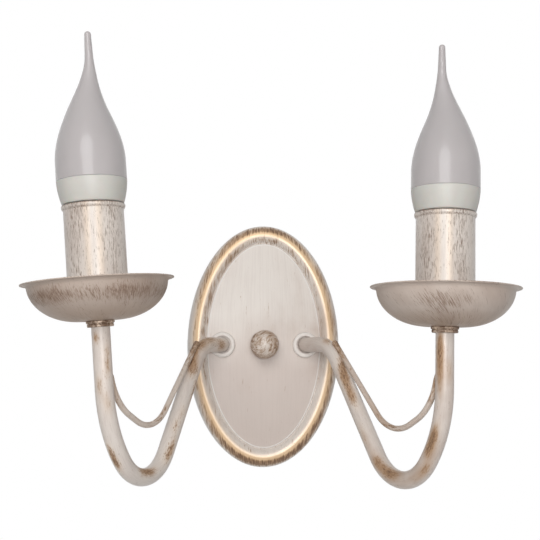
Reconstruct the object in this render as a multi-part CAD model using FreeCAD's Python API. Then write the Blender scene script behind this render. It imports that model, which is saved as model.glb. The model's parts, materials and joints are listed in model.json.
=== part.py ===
import FreeCAD, Part
import math
import os
from FreeCAD import Matrix, Placement, Rotation, Vector

# A wall light with two candle arms: an oval plate, two bent tubes with a thin rod brazed inside each bend,
# and on each tube a drip pan, a candle sleeve and a screw-in bulb with a drawn-out tip.
# Sizes are millimetres. The origin is the plate's centre on the wall, +Z is up and -Y points into the room.

# ---- back plate: an oval pressed from sheet, with a bead round its edge and a raised flat field ----
plate_half_width = 53.0
plate_half_height = 84.0
plate_sheet = 1.2
side_band_height = 5.0
side_band_lean = 0.8
bead_inset = 7.4
bead_height = 16.0
cove_inset = 13.0
cove_height = 12.1
field_inset = 14.3
field_height = 13.25

# ---- arms ----
tube_diameter = 10.0
tube_wall = 1.0
stub_bend_offset = 2.25
stub_bend_radius = 9.0
shoulder_run = 18.2
shoulder_radius = 28.8
fall_angle = 50.9
right_fall_run = 72.4
left_fall_run = 67.5
hook_radius = 29.4
hook_rise_angle = 52.2
rise_radius = 68.6
right_leg_run = 30.7
left_leg_run = 34.4
arm_azimuth = {"right": 25.1, "left": 26.8}
arm_roll = {"right": 1.5, "left": 3.6}
leg_lean = {"right": 0.0, "left": 1.9}

# ---- brazed rod ----
rod_diameter = 3.4
rod_seat = 0.5
rod_start_angle = 30.0
rod_fall_angle = 42.0
rod_above_hook = 28.4
rod_low_radius = 28.0
rod_rise_angle = 28.0
rod_end_radius = 24.0
rod_end_run = 4.0

# ---- arm fixings at the plate ----
rosette_edge_gap = 1.3
rosette_radius = 8.8
rosette_height = 3.0
rosette_bore_radius = 5.9
thread_clearance = 0.05
hole_clearance = 0.2
washer_radius = 8.0
washer_thickness = 0.8
washer_teeth = 14
washer_tooth_depth = 1.5
arm_nut_flats = 14.0
arm_nut_thickness = 3.0
thread_overrun = 0.65

# ---- wall bracket and ball nut ----
bracket_width = 18.0
bracket_length = 112.0
bracket_thickness = 2.0
slot_spacing = 90.0
slot_width = 5.2
slot_length = 12.0
stud_diameter = 5.0
stud_nut_flats = 8.0
stud_nut_thickness = 4.0
ball_radius = 9.7
ball_neck_radius = 5.0
ball_neck_height = 1.6
ball_wall = 4.5
ball_thread_clearance = 0.04
ball_washer_radius = 5.6
ball_washer_thickness = 0.6

# ---- earth screw and terminal block ----
earth_screw_height = 14.0
earth_screw_radius = 2.0
earth_head_radius = 3.6
earth_head_thickness = 2.2
lug_sheet = 0.7
lug_reach = 6.0
lug_web = 1.2
block_top = -11.5
block_width = 17.0
block_depth = 9.4
pole_pitch = 8.0
pole_count = 3
terminal_tube_radius = 2.1
terminal_tube_length = 13.0
terminal_screw_radius = 1.4

# ---- wires ----
wire_diameter = 2.2
wire_gap = 0.4
wire_entry = 4.0
wire_clearance = 0.2
wire_out = 4.6
wire_bend_radius = 2.9
wire_corner_radius = 7.0
earth_lead_reach = 8.0

# ---- candle stack: heights along the candle's axis, counted from the top of the tube's leg ----
collar_radius = 7.6
collar_drop = 1.5
pan_height = 1.9
pan_sheet = 0.8
pan_flat_radius = 10.5
pan_wall_radius = 37.4
pan_depth = 20.9
pan_lip_turn = 2.2
pan_lip_width = 0.9
seat_radius = 15.6
seat_hub_radius = 9.5
seat_hub_height = 0.6
seat_thickness = 0.9
seat_ring_height = 2.0
seat_ring_wall = 0.6
sleeve_radius = 16.1
sleeve_wall = 1.8
sleeve_length = 59.7
sleeve_lip_radius = 17.1
sleeve_lip_height = 1.7
sleeve_seat_clearance = 0.4
tube_end_overrun = 0.9

# ---- lampholder inside the sleeve ----
yoke_sheet = 0.8
yoke_width = 7.4
yoke_corner_gap = 0.17
yoke_boss_wall = 4.0
yoke_height = 33.0
holder_height = 27.5
holder_base_height = 25.8
holder_floor = 4.0
holder_mouth_radius = 9.0
holder_mouth_depth = 2.5
rivet_radius = 1.2
rivet_head_radius = 2.0
rivet_head_thickness = 0.5
rivet_length = 3.0
shell_sheet = 0.45
shell_length = 17.0
contact_room_radius = 5.5
contact_room_depth = 3.4
terminal_offset = 5.0

# ---- bulb ----
cap_radius = 6.95
cap_clearance = 0.07
cap_sheet = 0.3
cap_length = 17.2
cap_rim_radius = 7.9
cap_rim_height = 0.8
cap_proud = 0.7
insulator_height = 3.5
insulator_tip_radius = 3.2
contact_radius = 2.4
contact_height = 1.5
neck_clearance = 0.1
neck_depth = 10.0
neck_wall = 1.3
bulb_gap = 0.5
housing_cone_radius = 8.6
housing_shelf_radius = 13.2
housing_foot_radius = 16.6
housing_height = 14.0
housing_wall = 1.2
bulb_radius = 18.9
board_thickness = 1.0
board_drop = 3.6
chip_count = 8
chip_size = 3.0
chip_height = 0.7
driver_width = 8.4
driver_thickness = 1.2
capacitor_radius = 2.4
capacitor_length = 11.0
diffuser_wall = 0.9
dome_straight = 9.0
dome_length = 59.0
bulb_tip_height = 160.0
tail_radius = 2.7
tail_shift = 2.9
tail_shift_start = 36.0
tail_shift_length = 30.0
diffuser_rings = 16

# ---- values worked out from the driving dimensions ----
plate_back = field_height - plate_sheet
hole_x = plate_half_width - field_inset - rosette_edge_gap - rosette_radius
fall_run = {"right": right_fall_run, "left": left_fall_run}
leg_run = {"right": right_leg_run, "left": left_leg_run}
tube_radius = tube_diameter / 2
bore_radius = tube_radius - tube_wall
rod_radius = rod_diameter / 2
rod_pitch = tube_radius + rod_radius - rod_seat
stub_bend_depth = field_height + stub_bend_offset
arm_nut_back = plate_back - washer_thickness - arm_nut_thickness
stub_start = arm_nut_back - thread_overrun
stud_radius = stud_diameter / 2
ball_base = field_height + ball_washer_thickness
ball_centre = ball_base + ball_radius
stud_length = ball_centre + ball_radius - ball_wall - 0.5
wire_radius = wire_diameter / 2
wire_offset = wire_radius + wire_gap / 2
pole_radius = wire_radius + wire_clearance
block_height = pole_pitch * pole_count + 1.0
pole_heights = [block_top - 0.5 - pole_pitch * (i + 0.5) for i in range(pole_count)]
earth_pole, live_pole, neutral_pole = pole_heights

pan_floor = pan_height + pan_sheet
seat_under = pan_floor + seat_hub_height
seat_top = seat_under + seat_thickness
sleeve_bore = sleeve_radius - sleeve_wall
seat_ring_radius = sleeve_bore - sleeve_seat_clearance
sleeve_top = seat_top + sleeve_length
yoke_half_span = math.sqrt((seat_ring_radius - seat_ring_wall - yoke_corner_gap) ** 2 - (yoke_width / 2) ** 2)
holder_radius = yoke_half_span
yoke_floor_top = seat_top + yoke_sheet
tube_end = yoke_floor_top + arm_nut_thickness + tube_end_overrun
holder_base = seat_top + holder_base_height
holder_top = holder_base + holder_height
shell_base = holder_base + holder_floor + contact_room_depth
shell_bore = cap_radius + cap_clearance
shell_radius = shell_bore + shell_sheet
cap_top = holder_top + cap_proud
cap_bottom = cap_top - cap_length
insulator_bottom = cap_bottom - insulator_height
contact_bottom = insulator_bottom - contact_height
neck_radius = cap_radius - cap_sheet - neck_clearance
neck_bore = neck_radius - neck_wall
housing_foot = sleeve_top + bulb_gap
housing_top = housing_foot + housing_height
board_top = housing_top - board_drop
board_bottom = board_top - board_thickness

sides = {"right": 1, "left": -1}


# ---- building blocks ----
def chain(pieces, place):
    """Turn flat pieces, each two points (a straight) or three (an arc), into edges placed in space."""
    edges = []
    for piece in pieces:
        points = [place(*point) for point in piece]
        if len(points) == 2:
            edges.append(Part.LineSegment(*points).toShape())
        else:
            edges.append(Part.Arc(*points).toShape())
    return edges


def walk(start, heading, steps):
    """Follow runs (length,) and turns (radius, degrees) in a plane; give the pieces, last point and heading."""
    s, h = start
    angle = math.radians(heading)
    pieces = []
    for step in steps:
        if len(step) == 1:
            end = (s + step[0] * math.cos(angle), h + step[0] * math.sin(angle))
            pieces.append([(s, h), end])
        else:
            radius, turn = step
            bend = math.copysign(radius, turn)
            centre = (s - bend * math.sin(angle), h + bend * math.cos(angle))
            start_angle = angle
            angle += math.radians(turn)
            middle = (start_angle + angle) / 2
            end = (centre[0] + bend * math.sin(angle), centre[1] - bend * math.cos(angle))
            through = (centre[0] + bend * math.sin(middle), centre[1] - bend * math.cos(middle))
            pieces.append([(s, h), through, end])
        s, h = end
    return pieces, (s, h), math.degrees(angle)


def rounded_route(points, radii):
    """Straight runs through the points, each inner corner rounded by its own radius."""
    edges, here = [], points[0]
    for before, corner, after, radius in zip(points, points[1:], points[2:], radii):
        arrive = (corner - before).normalize()
        leave = (after - corner).normalize()
        half_turn = arrive.getAngle(leave) / 2
        reach = radius * math.tan(half_turn)
        first, last = corner - arrive * reach, corner + leave * reach
        inward = (leave - arrive).normalize()
        centre = corner + inward * (radius / math.cos(half_turn))
        edges.append(Part.LineSegment(here, first).toShape())
        edges.append(Part.Arc(first, centre - inward * radius, last).toShape())
        here = last
    edges.append(Part.LineSegment(here, points[-1]).toShape())
    return edges


def pipe(edges, radius):
    """A round bar along tangent edges."""
    path = Part.Wire(edges)
    first = edges[0]
    ring = Part.Circle(first.valueAt(first.FirstParameter), first.tangentAt(first.FirstParameter), radius)
    return path.makePipeShell([Part.Wire([ring.toShape()])], True, True)


def turned(start, *steps):
    """Revolve a closed outline of (radius, height) points about the Z axis; a pair of points is an arc."""
    edges, here = [], Vector(start[0], 0, start[1])
    for step in steps + (start,):
        if isinstance(step[0], tuple):
            through, end = (Vector(r, 0, z) for r, z in step)
            edges.append(Part.Arc(here, through, end).toShape())
        else:
            end = Vector(step[0], 0, step[1])
            edges.append(Part.LineSegment(here, end).toShape())
        here = end
    face = Part.Face(Part.Wire(edges))
    return face.revolve(Vector(0, 0, 0), Vector(0, 0, 1), 360)


def ring(outer, inner, low, high):
    """A plain tube or washer between two heights."""
    return turned((inner, low), (outer, low), (outer, high), (inner, high))


def rod_z(radius, low, high, x=0.0, y=0.0):
    """A round bar standing on Z."""
    return Part.makeCylinder(radius, high - low, Vector(x, y, low))


def rod_x(radius, low, high, y, z):
    """A round bar lying along X."""
    return Part.makeCylinder(radius, high - low, Vector(low, y, z), Vector(1, 0, 0))


def slab(x0, x1, y0, y1, z0, z1):
    """A box between two corners."""
    return Part.makeBox(x1 - x0, y1 - y0, z1 - z0, Vector(x0, y0, z0))


def hex_nut(flats, bore, low, high):
    """A hexagon nut on Z, with its corners turned back a little at both ends."""
    corner = flats / math.sqrt(3)
    points = [Vector(corner * math.cos(math.radians(60 * i)), corner * math.sin(math.radians(60 * i)), low)
              for i in range(7)]
    prism = Part.Face(Part.makePolygon(points)).extrude(Vector(0, 0, high - low))
    edge = corner - flats / 2
    skim = edge * math.tan(math.radians(30))
    blank = turned((0, low), (flats / 2, low), (corner, low + skim), (corner, high - skim),
                   (flats / 2, high), (0, high))
    return prism.common(blank).cut(rod_z(bore, low - 1, high + 1))


def on_wall(shape, x=0.0, z=0.0):
    """Stand a shape on the wall: its own Z becomes the distance out of the wall and its Y becomes up."""
    placed = shape.copy()
    placed.Placement = Placement(Vector(x, 0, z), Rotation(Vector(1, 0, 0), 90)).multiply(placed.Placement)
    return placed


# ---- back plate ----
def oval(inset, height):
    """The plate's outline drawn in by an inset, at a height over the wall."""
    centre = Vector(0, 0, height)
    half_width, half_height = plate_half_width - inset, plate_half_height - inset
    curve = Part.Ellipse(centre + Vector(0, half_height, 0), centre + Vector(half_width, 0, 0), centre)
    return Part.Wire([curve.toShape()])


def moulding(grow):
    """The edge section swept round the oval: side band, bead, cove and step. Grow moves it in by the sheet."""
    x = plate_half_width - grow
    lift = -grow
    band = (x - side_band_lean, side_band_height)
    crest = (plate_half_width - bead_inset, bead_height + lift)
    cove = (plate_half_width - cove_inset, cove_height + lift)
    step = (plate_half_width - field_inset, field_height + lift)
    rise_mid = (band[0] - 0.25 * (band[0] - crest[0]), band[1] + 0.72 * (crest[1] - band[1]))
    fall_mid = (crest[0] - 0.56 * (crest[0] - cove[0]), cove[1] + 0.80 * (crest[1] - cove[1]))
    return (x, 0.0), band, rise_mid, crest, fall_mid, cove, step


def make_back_plate():
    """The moulded edge is one sheet-thick section swept round the oval; a flat oval field closes it."""
    outer, inner = moulding(0.0), moulding(plate_sheet)
    overlap = 1.5
    lap = plate_half_width - field_inset - overlap

    def curve(points, backwards):
        foot, band, rise_mid, crest, fall_mid, cove, step = [Vector(r, 0, z) for r, z in points]
        parts = [Part.LineSegment(foot, band), Part.Arc(band, rise_mid, crest),
                 Part.Arc(crest, fall_mid, cove), Part.LineSegment(cove, step),
                 Part.LineSegment(step, Vector(lap, 0, step.z))]
        return [part.toShape() for part in (reversed(parts) if backwards else parts)]

    ends = [Part.LineSegment(Vector(lap, 0, field_height), Vector(lap, 0, plate_back)).toShape(),
            Part.LineSegment(Vector(inner[0][0], 0, 0), Vector(outer[0][0], 0, 0)).toShape()]
    section = Part.Wire(curve(outer, False) + [ends[0]] + curve(inner, True) + [ends[1]])
    edge = oval(0.0, 0.0).makePipeShell([section], True, True)
    field = Part.Face(oval(field_inset + overlap / 2, plate_back)).extrude(Vector(0, 0, plate_sheet))
    plate = edge.fuse(field)
    for x in (-hole_x, hole_x):
        plate = plate.cut(rod_z(tube_radius + hole_clearance, 0, bead_height, x))
    plate = plate.cut(rod_z(stud_radius + hole_clearance, 0, bead_height))
    return on_wall(plate.removeSplitter())


# ---- wall bracket, stud and ball nut ----
def make_wall_bracket():
    """A round-ended steel strip with two slots for the wall screws and tapped holes for stud and earth."""
    half, end = bracket_width / 2, bracket_length / 2 - bracket_width / 2
    strip = slab(-half, half, -end, end, 0, bracket_thickness)
    for y in (-end, end):
        strip = strip.fuse(rod_z(half, 0, bracket_thickness, 0, y))
    slot_reach = (slot_length - slot_width) / 2
    for y in (-slot_spacing / 2, slot_spacing / 2):
        cutter = slab(-slot_width / 2, slot_width / 2, y - slot_reach, y + slot_reach, -1, bracket_thickness + 1)
        for tip in (y - slot_reach, y + slot_reach):
            cutter = cutter.fuse(rod_z(slot_width / 2, -1, bracket_thickness + 1, 0, tip))
        strip = strip.cut(cutter.removeSplitter())
    strip = strip.cut(rod_z(stud_radius + thread_clearance, -1, bracket_thickness + 1))
    strip = strip.cut(rod_z(earth_screw_radius + thread_clearance, -1, bracket_thickness + 1, 0, earth_screw_height))
    return on_wall(strip.removeSplitter())


def make_bracket_stud():
    """A threaded stud from the wall side of the bracket to inside the ball nut, its tip bevelled."""
    bevel = 0.6
    return on_wall(turned((0, 0), (stud_radius, 0), (stud_radius, stud_length - bevel),
                          (stud_radius - bevel, stud_length), (0, stud_length)))


def make_stud_lock_nut():
    bore = stud_radius + thread_clearance
    return on_wall(hex_nut(stud_nut_flats, bore, bracket_thickness, bracket_thickness + stud_nut_thickness))


def make_ball_nut_washer():
    return on_wall(ring(ball_washer_radius, stud_radius + hole_clearance, field_height, ball_base))


def make_ball_nut():
    """A solid ball on a short neck, with a blind tapped hole from the back."""
    ball = Part.makeSphere(ball_radius, Vector(0, 0, ball_centre))
    neck = rod_z(ball_neck_radius, ball_base, ball_base + ball_neck_height)
    hole = rod_z(stud_radius + ball_thread_clearance, field_height, ball_centre + ball_radius - ball_wall)
    return on_wall(ball.fuse(neck).cut(hole))


def make_earth_screw():
    """A pan-head screw in the bracket, clamping the lug."""
    head_low = bracket_thickness + lug_sheet
    head_high = head_low + earth_head_thickness
    round_off = 0.8
    screw = turned((0, 0.2), (earth_screw_radius, 0.2), (earth_screw_radius, head_low),
                   (earth_head_radius, head_low), (earth_head_radius, head_high - round_off),
                   ((earth_head_radius - 0.3 * round_off, head_high - 0.3 * round_off),
                    (earth_head_radius - round_off, head_high)), (0, head_high))
    slot = slab(-earth_head_radius, earth_head_radius, -0.4, 0.4, head_high - 0.9, head_high + 1)
    return on_wall(screw.cut(slot), 0, earth_screw_height)


def make_earth_lug():
    """A flat ring tag under the screw, with a round crimped barrel that takes the lead."""
    barrel_radius = wire_radius + lug_sheet
    tag = ring(earth_head_radius, earth_screw_radius + hole_clearance, bracket_thickness,
               bracket_thickness + lug_sheet)
    tongue = slab(earth_screw_radius + 0.6, lug_reach + lug_web, -1.5, 1.5, bracket_thickness,
                  bracket_thickness + lug_sheet)
    web = slab(lug_reach, lug_reach + lug_web, -1.5, 1.5, bracket_thickness, wire_out)
    barrel = rod_x(barrel_radius, lug_reach, lug_reach + wire_entry, 0, wire_out)
    bore = rod_x(wire_radius + thread_clearance, lug_reach + lug_web, lug_reach + wire_entry + 1, 0, wire_out)
    return on_wall(tag.fuse(tongue).fuse(web).fuse(barrel).cut(bore).removeSplitter(), 0, earth_screw_height)


def make_earth_lead():
    """From the lug out to the right, down beside the block and into its first pole."""
    start = lug_reach + lug_web + wire_clearance
    drop_x = block_width / 2 + earth_lead_reach
    end = terminal_tube_length / 2 - wire_entry / 2
    points = [Vector(start, -wire_out, earth_screw_height), Vector(drop_x, -wire_out, earth_screw_height),
              Vector(drop_x, -wire_out, earth_pole), Vector(end, -wire_out, earth_pole)]
    corner = min(wire_corner_radius, 0.45 * (drop_x - start))
    return pipe(rounded_route(points, [corner, corner]), wire_radius)


# ---- terminal block ----
def make_terminal_block():
    """An insulating body with a cross hole for each pole and two screw wells over it."""
    half = block_width / 2
    body = slab(-half, half, block_top - block_height, block_top, bracket_thickness, bracket_thickness + block_depth)
    for y in pole_heights:
        body = body.cut(rod_x(pole_radius + 0.1, -half - 1, half + 1, y, wire_out))
        body = body.cut(rod_x(terminal_tube_radius + thread_clearance, -terminal_tube_length / 2,
                              terminal_tube_length / 2, y, wire_out))
        for x in (-terminal_tube_length / 4, terminal_tube_length / 4):
            body = body.cut(rod_z(terminal_screw_radius + hole_clearance, wire_out,
                                  bracket_thickness + block_depth + 1, x, y))
    for y in [block_top - 0.5 - pole_pitch * i for i in range(1, pole_count)]:
        for side in (-1, 1):
            body = body.cut(slab(side * (half - 0.9) - 1.1, side * (half - 0.9) + 1.1, y - 0.5, y + 0.5,
                                 wire_out + 2.5, bracket_thickness + block_depth + 1))
    return on_wall(body)


def make_terminal_tubes():
    """One brass tube for each pole, tapped twice from the front."""
    tubes = []
    for y in pole_heights:
        tube = rod_x(terminal_tube_radius, -terminal_tube_length / 2, terminal_tube_length / 2, y, wire_out)
        tube = tube.cut(rod_x(pole_radius, -terminal_tube_length, terminal_tube_length, y, wire_out))
        for x in (-terminal_tube_length / 4, terminal_tube_length / 4):
            tube = tube.cut(rod_z(terminal_screw_radius + thread_clearance, wire_out,
                                  wire_out + 2 * terminal_tube_radius, x, y))
        tubes.append(on_wall(tube))
    return Part.makeCompound(tubes)


def make_terminal_screws():
    """The clamp screws, each ending on its wire."""
    top = bracket_thickness + block_depth - 1.2
    low = wire_out + wire_radius
    screws = []
    for y in pole_heights:
        for x in (-terminal_tube_length / 4, terminal_tube_length / 4):
            screw = rod_z(terminal_screw_radius, low, top, x, y)
            slot = slab(x - 2, x + 2, y - 0.3, y + 0.3, top - 0.8, top + 1)
            screws.append(on_wall(screw.cut(slot)))
    return Part.makeCompound(screws)


# ---- one arm: its path, its tube and rod, and where its candle stands ----
class Arm:
    """The bent path of one arm. Flat points (s, h) lie in the arm's upright plane, s along and h up."""

    def __init__(self, side):
        self.side, self.sign = side, sides[side]
        azimuth = math.radians(arm_azimuth[side])
        self.along = Vector(self.sign * math.sin(azimuth), -math.cos(azimuth), 0)
        self.across = Vector(self.sign * math.cos(azimuth), math.sin(azimuth), 0)
        self.azimuth = arm_azimuth[side]
        self.bend_reach = stub_bend_radius * math.tan(azimuth / 2)
        self.seat = Placement(Vector(self.sign * hole_x, 0, 0),
                              Rotation(Vector(0, 1, 0), self.sign * arm_roll[side]))
        rise_turn = 90 - leg_lean[side] - hook_rise_angle
        self.pieces, self.top, self.heading = walk((self.bend_reach, 0), 0, [
            (shoulder_run - self.bend_reach,),
            (shoulder_radius, -fall_angle),
            (fall_run[side],),
            (hook_radius, fall_angle + hook_rise_angle),
            (rise_radius, rise_turn),
            (leg_run[side],)])
        axis = self.plane_direction(self.heading)
        back = axis.cross(self.across)
        foot = self.in_plane(0)(*self.top)
        frame = Matrix(self.across.x, back.x, axis.x, foot.x,
                       self.across.y, back.y, axis.y, foot.y,
                       self.across.z, back.z, axis.z, foot.z)
        self.candle = self.seat.multiply(Placement(frame))

    def plane_direction(self, heading):
        angle = math.radians(heading)
        return self.along * math.cos(angle) + Vector(0, 0, math.sin(angle))

    def in_plane(self, shift):
        """Places flat points in the arm's upright plane, shifted sideways; before the arm is rolled."""
        start = Vector(0, -stub_bend_depth, 0) + self.across * shift
        return lambda s, h: start + self.along * s + Vector(0, 0, h)

    def in_plan(self, shift):
        """Places flat points (depth, sideways) of the threaded stub and its small bend."""
        return lambda depth, sideways: Vector(self.sign * sideways, -depth, 0)

    def path(self, shift):
        """The centre line of the tube, or of a wire beside it, from the stub's end to the leg's top."""
        bend_start = stub_bend_depth - self.bend_reach
        stub, _, _ = walk((stub_start, shift), 0, [(bend_start - stub_start,),
                                                   (stub_bend_radius - shift, self.azimuth)])
        edges = chain(stub, self.in_plan(shift)) + chain(self.pieces, self.in_plane(shift))
        for edge in edges:
            edge.transformShape(self.seat.Matrix)
        return edges

    def candle_edges(self, pieces):
        """Edges from flat points (sideways, height) in the candle's own upright plane."""
        edges = chain(pieces, lambda x, z: Vector(x, 0, z))
        for edge in edges:
            edge.transformShape(self.candle.Matrix)
        return edges

    def stand(self, shape):
        """Stand a shape made on Z on the top of this arm's leg."""
        placed = shape.copy()
        placed.Placement = self.candle.multiply(placed.Placement)
        return placed


def make_tube_bar(arm, radius):
    top = walk((0, 0), 90, [(tube_end,)])[0]
    return pipe(arm.path(0) + arm.candle_edges(top), radius)


def make_arm_tube(arm):
    """A plain tube bent cold, open at both ends for the wires."""
    return make_tube_bar(arm, tube_radius).cut(make_tube_bar(arm, bore_radius))


def make_arm_rod(arm):
    """A thin rod that leaves the shoulder, hangs inside the hook and joins the leg, seated in the tube's side."""
    shoulder_centre = (shoulder_run, -shoulder_radius)
    reach = shoulder_radius + rod_pitch
    start_angle = math.radians(rod_start_angle)
    start = (shoulder_centre[0] + reach * math.sin(start_angle), shoulder_centre[1] + reach * math.cos(start_angle))
    _, hook_start, _ = walk((shoulder_run, 0), 0, [(shoulder_radius, -fall_angle), (fall_run[arm.side],)])
    hook_low = hook_start[1] - hook_radius * (1 - math.cos(math.radians(fall_angle)))
    fall, rise = math.radians(rod_fall_angle), math.radians(rod_rise_angle)
    leave = shoulder_centre[1] + reach * math.cos(fall)
    low = hook_low + rod_above_hook
    fall_length = (leave - rod_low_radius * (1 - math.cos(fall)) - low) / math.sin(fall)
    first, low_end, _ = walk(start, -rod_start_angle, [
        (reach, rod_start_angle - rod_fall_angle),
        (fall_length,),
        (rod_low_radius, rod_fall_angle + rod_rise_angle)])
    leg = math.radians(arm.heading)
    swing = (rod_end_radius * (math.sin(leg) - math.sin(rise)), rod_end_radius * (math.cos(rise) - math.cos(leg)))
    gap = (low_end[0] + swing[0] - arm.top[0], low_end[1] + swing[1] - arm.top[1])
    beside = -gap[0] * math.sin(leg) + gap[1] * math.cos(leg)
    rise_length = (beside - rod_pitch) / math.sin(leg - rise)
    second, _, _ = walk(low_end, rod_rise_angle, [
        (rise_length,),
        (rod_end_radius, arm.heading - rod_rise_angle),
        (rod_end_run,)])
    edges = chain(first + second, arm.in_plane(0))
    for edge in edges:
        edge.transformShape(arm.seat.Matrix)
    return pipe(edges, rod_radius).cut(make_tube_bar(arm, tube_radius))


def make_wire(arm, shift, pole):
    """One lead: from its pole in the plate's hollow, through the whole tube, to the lampholder."""
    stub_end = arm.seat.multVec(Vector(arm.sign * shift, -stub_start, 0))
    end_x = arm.sign * (terminal_tube_length / 2 - wire_entry / 2)
    cavity = [Vector(end_x, -wire_out, pole), Vector(stub_end.x, -wire_out, pole),
              Vector(stub_end.x, -wire_out, stub_end.z), stub_end]
    spread = 30.0
    sideways = math.copysign(terminal_offset, shift) - shift
    spread_turn = -math.copysign(spread, sideways)
    bend = 1.5 * wire_diameter
    slant = (abs(sideways) - 2 * bend * (1 - math.cos(math.radians(spread)))) / math.sin(math.radians(spread))
    steps = [(tube_end,), (bend, spread_turn), (slant,), (bend, -spread_turn)]
    climb, last, _ = walk((shift, 0), 90, steps)
    climb.append([last, (last[0], holder_base + holder_floor / 2)])
    edges = (rounded_route(cavity, [wire_corner_radius, wire_bend_radius]) + arm.path(shift)
             + arm.candle_edges(climb))
    return pipe(edges, wire_radius)


# ---- fixings of an arm at the plate ----
def make_rosette(arm):
    """A turned ring with a rounded edge, lying on the field round the tube."""
    round_off = 1.3
    high = field_height + rosette_height
    shape = turned((rosette_bore_radius, field_height), (rosette_radius, field_height),
                   (rosette_radius, high - round_off),
                   ((rosette_radius - 0.3 * round_off, high - 0.3 * round_off), (rosette_radius - round_off, high)),
                   (rosette_bore_radius + 0.5, high), (rosette_bore_radius, high - 0.5))
    return on_wall(shape, arm.sign * hole_x)


def make_arm_washer(arm):
    """A lock washer with outer teeth, behind the plate."""
    low = plate_back - washer_thickness
    washer = ring(washer_radius, tube_radius + hole_clearance, low, plate_back)
    for i in range(washer_teeth):
        notch = slab(washer_radius - washer_tooth_depth, washer_radius + 1, -0.6, 0.6, low - 1, plate_back + 1)
        notch.rotate(Vector(0, 0, 0), Vector(0, 0, 1), 360 * i / washer_teeth)
        washer = washer.cut(notch)
    return on_wall(washer, arm.sign * hole_x)


def make_arm_nut(arm):
    nut = hex_nut(arm_nut_flats, tube_radius + thread_clearance, arm_nut_back, arm_nut_back + arm_nut_thickness)
    return on_wall(nut, arm.sign * hole_x)


# ---- the candle stack ----
def make_collar(arm):
    """A stepped turned collar on the tube's thread, carrying the pan."""
    bore = tube_radius + thread_clearance
    low, step, high = -collar_drop, pan_height - 1.4, pan_height
    foot = collar_radius - 1.0
    return arm.stand(turned((bore, low), (foot - 0.6, low), ((foot - 0.15, low + 0.2), (foot, low + 0.7)),
                            (foot, step), (collar_radius - 0.4, step),
                            ((collar_radius, (step + high) / 2), (collar_radius - 0.4, high)), (bore, high)))


def make_drip_pan(arm):
    """A spun bowl: flat floor, elliptical wall and an out-turned lip, one sheet thick."""
    lip_bottom = pan_height + pan_depth - pan_sheet / 2
    wall_top = lip_bottom - pan_lip_turn
    drop = lip_bottom - pan_height
    reach = pan_wall_radius - pan_flat_radius

    def wall(inward):
        centre = Vector(pan_flat_radius, 0, lip_bottom)
        across, down = reach - inward, drop - inward
        major = centre + Vector(across, 0, 0)
        minor = centre + Vector(0, 0, -down)
        curve = Part.Ellipse(major, minor, centre)
        end_angle = math.asin((lip_bottom - wall_top) / down)
        points = [centre + Vector(across * math.cos(a), 0, -down * math.sin(a)) for a in (math.pi / 2, end_angle)]
        first, last = (curve.parameter(point) for point in points)
        arc = Part.ArcOfEllipse(curve, min(first, last), max(first, last))
        return arc.toShape(), points

    under, (under_low, under_high) = wall(0.0)
    over, (over_low, over_high) = wall(pan_sheet)
    lip_edge = under_high.x + pan_lip_turn + pan_lip_width
    bore = tube_radius + hole_clearance

    def lip(corner, radius, height):
        middle = math.radians(45)
        through = Vector(corner.x + radius * (1 - math.cos(middle)), 0, wall_top + radius * math.sin(middle))
        return Part.Arc(corner, through, Vector(corner.x + radius, 0, height)).toShape()

    top = lip_bottom + pan_sheet
    under_lip = lip(under_high, pan_lip_turn, lip_bottom)
    over_radius = top - wall_top
    over_lip = lip(over_high, over_radius, top)
    edges = [Part.LineSegment(Vector(bore, 0, pan_height), under_low).toShape(), under, under_lip,
             Part.LineSegment(Vector(under_high.x + pan_lip_turn, 0, lip_bottom),
                              Vector(lip_edge, 0, lip_bottom)).toShape(),
             Part.Arc(Vector(lip_edge, 0, lip_bottom), Vector(lip_edge + pan_sheet / 2, 0, lip_bottom + pan_sheet / 2),
                      Vector(lip_edge, 0, top)).toShape(),
             Part.LineSegment(Vector(lip_edge, 0, top), Vector(over_high.x + over_radius, 0, top)).toShape(),
             over_lip, over,
             Part.LineSegment(over_low, Vector(bore, 0, pan_floor)).toShape(),
             Part.LineSegment(Vector(bore, 0, pan_floor), Vector(bore, 0, pan_height)).toShape()]
    section = Part.Face(Part.Wire(Part.__sortEdges__(edges)))
    return arm.stand(section.revolve(Vector(0, 0, 0), Vector(0, 0, 1), 360))


def make_sleeve_seat(arm):
    """A dished washer on the pan's floor; its ring centres the candle sleeve and its disc carries it."""
    bore = tube_radius + hole_clearance
    ring_inner = seat_ring_radius - seat_ring_wall
    return arm.stand(turned((bore, pan_floor), (seat_hub_radius, pan_floor), (seat_hub_radius, seat_under),
                            (seat_radius, seat_under), (seat_radius, seat_top), (seat_ring_radius, seat_top),
                            (seat_ring_radius, seat_top + seat_ring_height),
                            (ring_inner, seat_top + seat_ring_height), (ring_inner, seat_top), (bore, seat_top)))


def make_candle_sleeve(arm):
    """An open tube with a thin rolled lip at its mouth."""
    lip_low = sleeve_top - sleeve_lip_height
    return arm.stand(turned((sleeve_bore, seat_top), (sleeve_radius - 0.4, seat_top), (sleeve_radius, seat_top + 0.4),
                            (sleeve_radius, lip_low - 1.2), (sleeve_lip_radius - 0.25, lip_low),
                            ((sleeve_lip_radius, (lip_low + sleeve_top) / 2), (sleeve_lip_radius - 0.3, sleeve_top)),
                            (sleeve_bore + 0.5, sleeve_top), (sleeve_bore, sleeve_top - 0.5)))


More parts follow.
